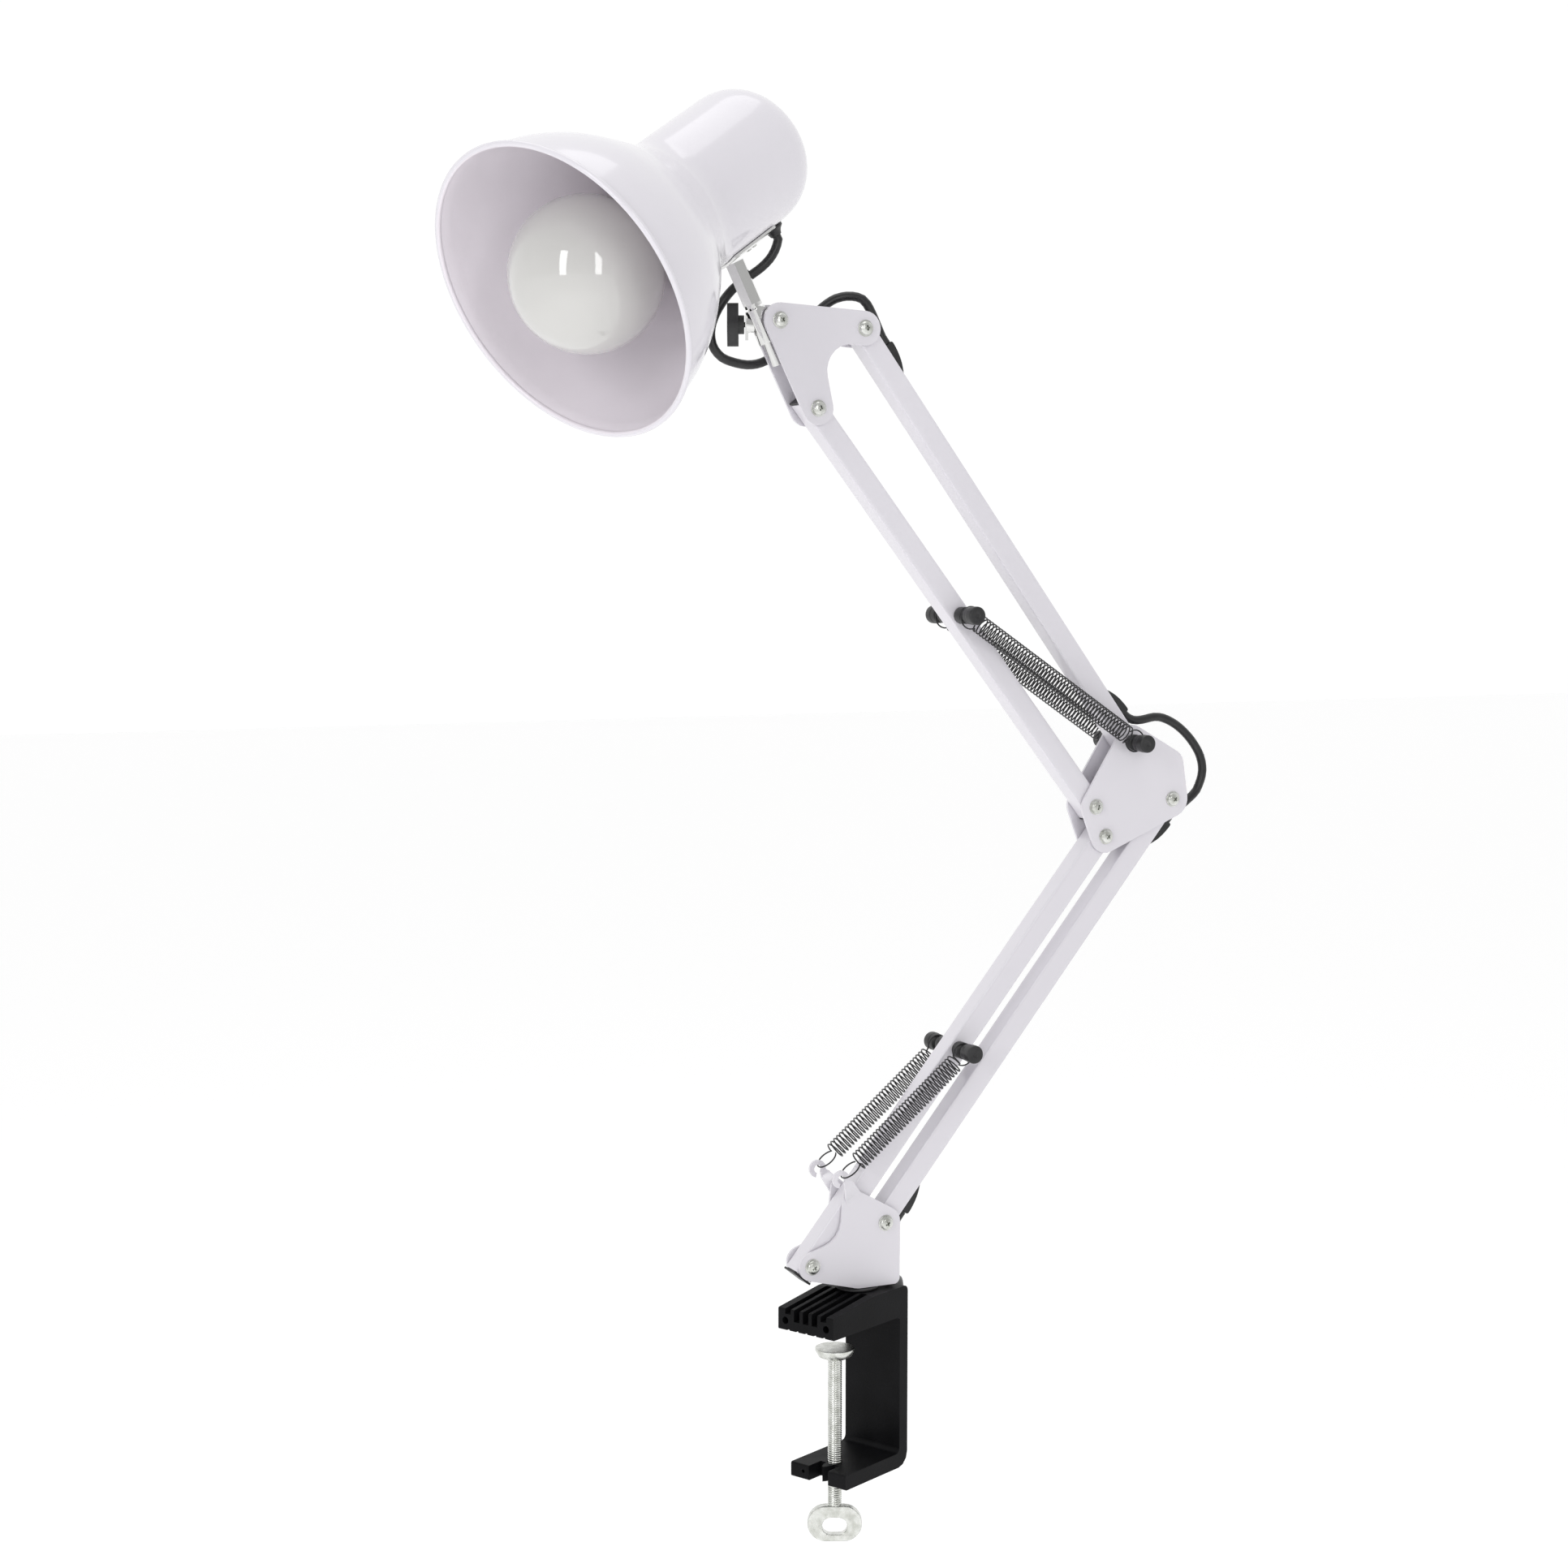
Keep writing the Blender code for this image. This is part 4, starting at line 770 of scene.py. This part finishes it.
def make_screws(looks):
    """Cross-head machine screws with washers at the near side and nuts at the far side."""
    head = screw_head(0.0039, 0.0025)
    washer = turned(rounded([(0.0021, 0.0005), (0.0045, 0.0005), (0.0045, 0), (0.0021, 0)], 0.0001, 2), 28)
    nut = hex_nut(0.0070, 0.0028)
    shank = turned(rounded([(0, 0.0043), (0.0019, 0.0043), (0.0019, 0), (0, 0)], 0.0004, 2), 16)
    for name, point, body in (
            ("base_front", LOWER_FRONT, "base"), ("base_rear", LOWER_REAR, "base"),
            ("elbow_front", ELBOW_FRONT, "elbow"), ("elbow_rear", ELBOW_REAR, "elbow"),
            ("elbow_upper", UPPER_FRONT, "elbow"), ("head_front", HEAD_FRONT, "head_plates"),
            ("head_rear", HEAD_REAR, "head_plates"), ("knuckle", KNUCKLE, "head_plates")):
        turn = Matrix.Rotation(math.radians(round(1000 * (point.x + 2 * point.y)) % 90), 4, "Z")
        near = Matrix.Translation(in_plane(point, -PLATE_FACE)) @ Matrix.Rotation(math.pi / 2, 4, "X") @ turn
        far = Matrix.Translation(in_plane(point, PLATE_FACE)) @ Matrix.Rotation(-math.pi / 2, 4, "X") @ turn
        shapes = [head.copy(), washer.copy(), nut.copy(), shank.copy()]
        shapes[0].transform(near @ Matrix.Translation((0, 0, 0.0005)))
        shapes[1].transform(near)
        shapes[2].transform(far)
        shapes[3].transform(far)
        made = add("screw_" + name, joined(shapes), looks["zinc"], body)
        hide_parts("pivot_screw_" + name)
    for index, place in enumerate(STRAP_SCREWS):
        spot = head_point(place, NECK_RADIUS + GAP + STRAP)
        made = add(f"strap_screw_{index + 1}_cross", screw_head(0.0020, 0.0016), looks["zinc"], "head",
                   Matrix.Translation(spot) @ along(boot_direction()))
        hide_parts(f"strap_screw_{index + 1}")


def make_posts(looks):
    """Collar, groove and cap of each spring post, near and far."""
    for name, point, face, body in (("lower_spring_post", LOWER_POST, BAR / 2, "lower_front"),
                                    ("upper_spring_post", UPPER_POST, BAR / 2, "upper_front"),
                                    ("elbow_spring_post", UPPER_REAR, PLATE_FACE, "elbow")):
        for side, label in ((-1, "near"), (1, "far")):
            profile = rounded([
                (0, 0.0252), (0.0012, 0.0252), (0.0016, 0.0257), (0.0046, 0.0257), (0.0051, 0.0250),
                (0.0051, 0.0206), (0.0048, 0.0200), (0.0048, 0.0162), (0.0034, 0.0158), (0.0034, 0.0132),
                (0.0047, 0.0128), (0.0047, face + GAP), (0, face + GAP)], 0.0004, 2)
            matrix = Matrix.Translation(in_plane(point)) @ Matrix.Rotation(-side * math.pi / 2, 4, "X")
            made = add(f"{name}_{label}_moulded", turned(profile, 28), looks["plastic"], body, matrix)
            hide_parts(f"{name}_{label}")


# ---------------------------------------------------------------- clamp screw

def make_threaded_rod(looks):
    """Rod with a rolled thread, plain at its top end."""
    pitch, radius, depth = 0.00125, 0.0040, 0.00035
    top = PAD_TOP - 0.0050 - GAP
    sides = 20
    step = pitch / 5
    count = round((top - 0.0006 - ROD_END) / step)
    mesh = bpy.data.meshes.new("thread")
    build = bmesh.new()
    rings = []
    for k in range(count + 1):
        height = top - 0.0006 - k * step
        ring = []
        for j in range(sides):
            phase = (height / pitch + j / sides) % 1.0
            cut = depth * (1 - abs(2 * phase - 1)) * 1.6
            size = radius - min(cut, depth)
            ring.append(build.verts.new((*(size * unit(2 * math.pi * j / sides)), height)))
        rings.append(ring)
    crown = [build.verts.new((*(0.0034 * unit(2 * math.pi * j / sides)), top)) for j in range(sides)]
    build.faces.new(crown)
    rings.insert(0, crown)
    for upper, lower in zip(rings, rings[1:]):
        for j in range(sides):
            after = (j + 1) % sides
            build.faces.new((upper[j], lower[j], lower[after], upper[after]))
    build.faces.new(list(reversed(rings[-1])))
    build.to_mesh(mesh)
    build.free()
    rod = add("clamp_screw_threaded", mesh, looks["zinc"], "screw",
              Matrix.Translation(clamp_point(ROD_S, 0, 0)), angle=50)
    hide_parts("clamp_screw")


# ---------------------------------------------------------------- head

def curve_through(profile, steps=5):
    """Catmull-Rom points through a profile."""
    points = [Vector(point) for point in profile]
    ends = [2 * points[0] - points[1], *points, 2 * points[-1] - points[-2]]
    made = []
    for before, start, stop, after in zip(ends, ends[1:], ends[2:], ends[3:]):
        for step in range(steps):
            t = step / steps
            bend = 2 * start + (stop - before) * t
            bend += (2 * before - 5 * start + 4 * stop - after) * t * t
            bend += (3 * start - before - 3 * stop + after) * t ** 3
            made.append(tuple(bend / 2))
    made.append(tuple(points[-1]))
    return [(max(0.0, radius), height) for radius, height in made]


def make_shade(looks):
    """Spun bell and neck with a rolled rim, white outside, and inside a brighter copy of the white paint as
    painted light.
    """
    outside = curve_through([
        (0.0000, HEAD_LENGTH), (0.0080, 0.1777), (0.0170, 0.1764), (0.0260, 0.1735), (0.0330, 0.1675),
        (0.0368, 0.1600), (NECK_RADIUS, 0.1520), (NECK_RADIUS, 0.1400), (NECK_RADIUS, 0.1200),
        (NECK_RADIUS, 0.1000), (NECK_RADIUS, 0.0940), (0.0389, 0.0885), (0.0405, 0.0835), (0.0430, 0.0790),
        (0.0465, 0.0735), (0.0505, 0.0675), (0.0550, 0.0612), (0.0593, 0.0545), (0.0638, 0.0475),
        (0.0680, 0.0400), (0.0718, 0.0315), (0.0752, 0.0220), (0.0775, 0.0120), (0.0789, 0.0034)], 3)
    bead = [(0.0790 + 0.0009 + 0.0016 * math.cos(math.radians(angle)),
             0.0012 + 0.0016 * math.sin(math.radians(angle))) for angle in range(100, -215, -24)]
    inside = [(max(0.0, radius - 0.0010), height - 0.0007) for radius, height in reversed(outside[:-1])
              if height > 0.0034]
    profile = outside + bead + inside
    around = 112
    body = add("shade_spun", turned(profile, around), looks["enamel"], "head", head_matrix())
    # The faces inside the bell take the brighter copy of the white paint, painted light
    body.data.materials.append(looks["lining"])
    border = len(outside) + len(bead) // 2 + 2
    for index, face in enumerate(body.data.polygons):
        if index // around >= border:
            face.material_index = 1
    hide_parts("shade")


def make_bulb(looks):
    """Opal globe with its neck, over the screw cap."""
    cap_start = BULB_S + 0.0540
    profile = [(0.0124, cap_start - GAP), (0.0125, cap_start - 0.0040), (0.0130, BULB_S + 0.0465),
               (0.0150, BULB_S + 0.0405), (0.0180, BULB_S + 0.0365)]
    for step in range(33):
        angle = math.radians(58 - step * 148 / 32)
        profile.append((max(0.0, BULB_RADIUS * math.cos(angle)), BULB_S + BULB_RADIUS * math.sin(angle)))
    globe = add("bulb_opal", turned([(0, cap_start - GAP), *profile], 72), looks["opal"], "head",
                head_matrix(), angle=60)
    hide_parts("bulb_globe")


# ---------------------------------------------------------------- carried-over CAD nodes

def dress(name, material, width=0.0003, segments=2):
    """Gives a CAD node its material and eased edges."""
    made = nodes[name]
    made.data.materials.clear()
    made.data.materials.append(material)
    made.data.shade_smooth()
    weld = made.modifiers.new("Weld", "WELD")
    weld.merge_threshold = 0.00001
    edge = made.modifiers.new("Edges", "BEVEL")
    edge.width = width
    edge.segments = segments
    edge.limit_method = "ANGLE"
    edge.angle_limit = math.radians(40)
    edge.harden_normals = False
    normals = made.modifiers.new("Normals", "WEIGHTED_NORMAL")
    normals.weight = 90
    normals.keep_sharp = True


def dress_nodes(looks):
    for name in ("lower_front_bar", "lower_rear_bar", "upper_front_bar", "upper_rear_bar"):
        dress(name, looks["enamel"], 0.0002)
    for name in ("elbow_plate_near", "elbow_plate_far", "head_plate_near", "head_plate_far", "base_bracket"):
        dress(name, looks["enamel"], 0.0003)
    dress("clamp_frame", looks["cast"], 0.0006)
    for name in ("lower_bar_bottom_cap", "lower_bar_top_cap", "upper_bar_bottom_cap", "upper_bar_top_cap"):
        dress(name, looks["plastic"], 0.0003)
    dress("wing_knob", looks["plastic"], 0.0006)
    for name in ("stem", "knuckle_saddle", "neck_strap"):
        dress(name, looks["chrome"], 0.0003)
    dress("swivel_washer", looks["plastic"], 0.0002)
    for name in ("swivel_pin", "pressure_pad"):
        dress(name, looks["zinc"], 0.0002)
    dress("thumb_ring", looks["zinc"], 0.0004)
    dress("lamp_holder", looks["ceramic"], 0.0003)
    dress("bulb_cap", looks["cap"], 0.0002)
    for name in ("upper_cable_run", "lower_cable_run"):
        dress(name, looks["rubber"], 0.0002)


def make_stage(looks):
    """Plain pale floor, well below the clamp."""
    mesh = bpy.data.meshes.new("stage")
    build = bmesh.new()
    bmesh.ops.create_grid(build, x_segments=2, y_segments=2, size=12)
    build.to_mesh(mesh)
    build.free()
    floor = add("floor", mesh, looks["floor"], matrix=Matrix.Translation((0, 0, -0.42)))


make_lights()
looks = make_materials()
make_mains_lead(looks)
make_elbow_cable(looks)
make_head_cable(looks)
make_boot(looks)
make_hoods(looks)
make_springs(looks)
make_screws(looks)
make_posts(looks)
make_threaded_rod(looks)
make_shade(looks)
make_bulb(looks)
dress_nodes(looks)
make_stage(looks)
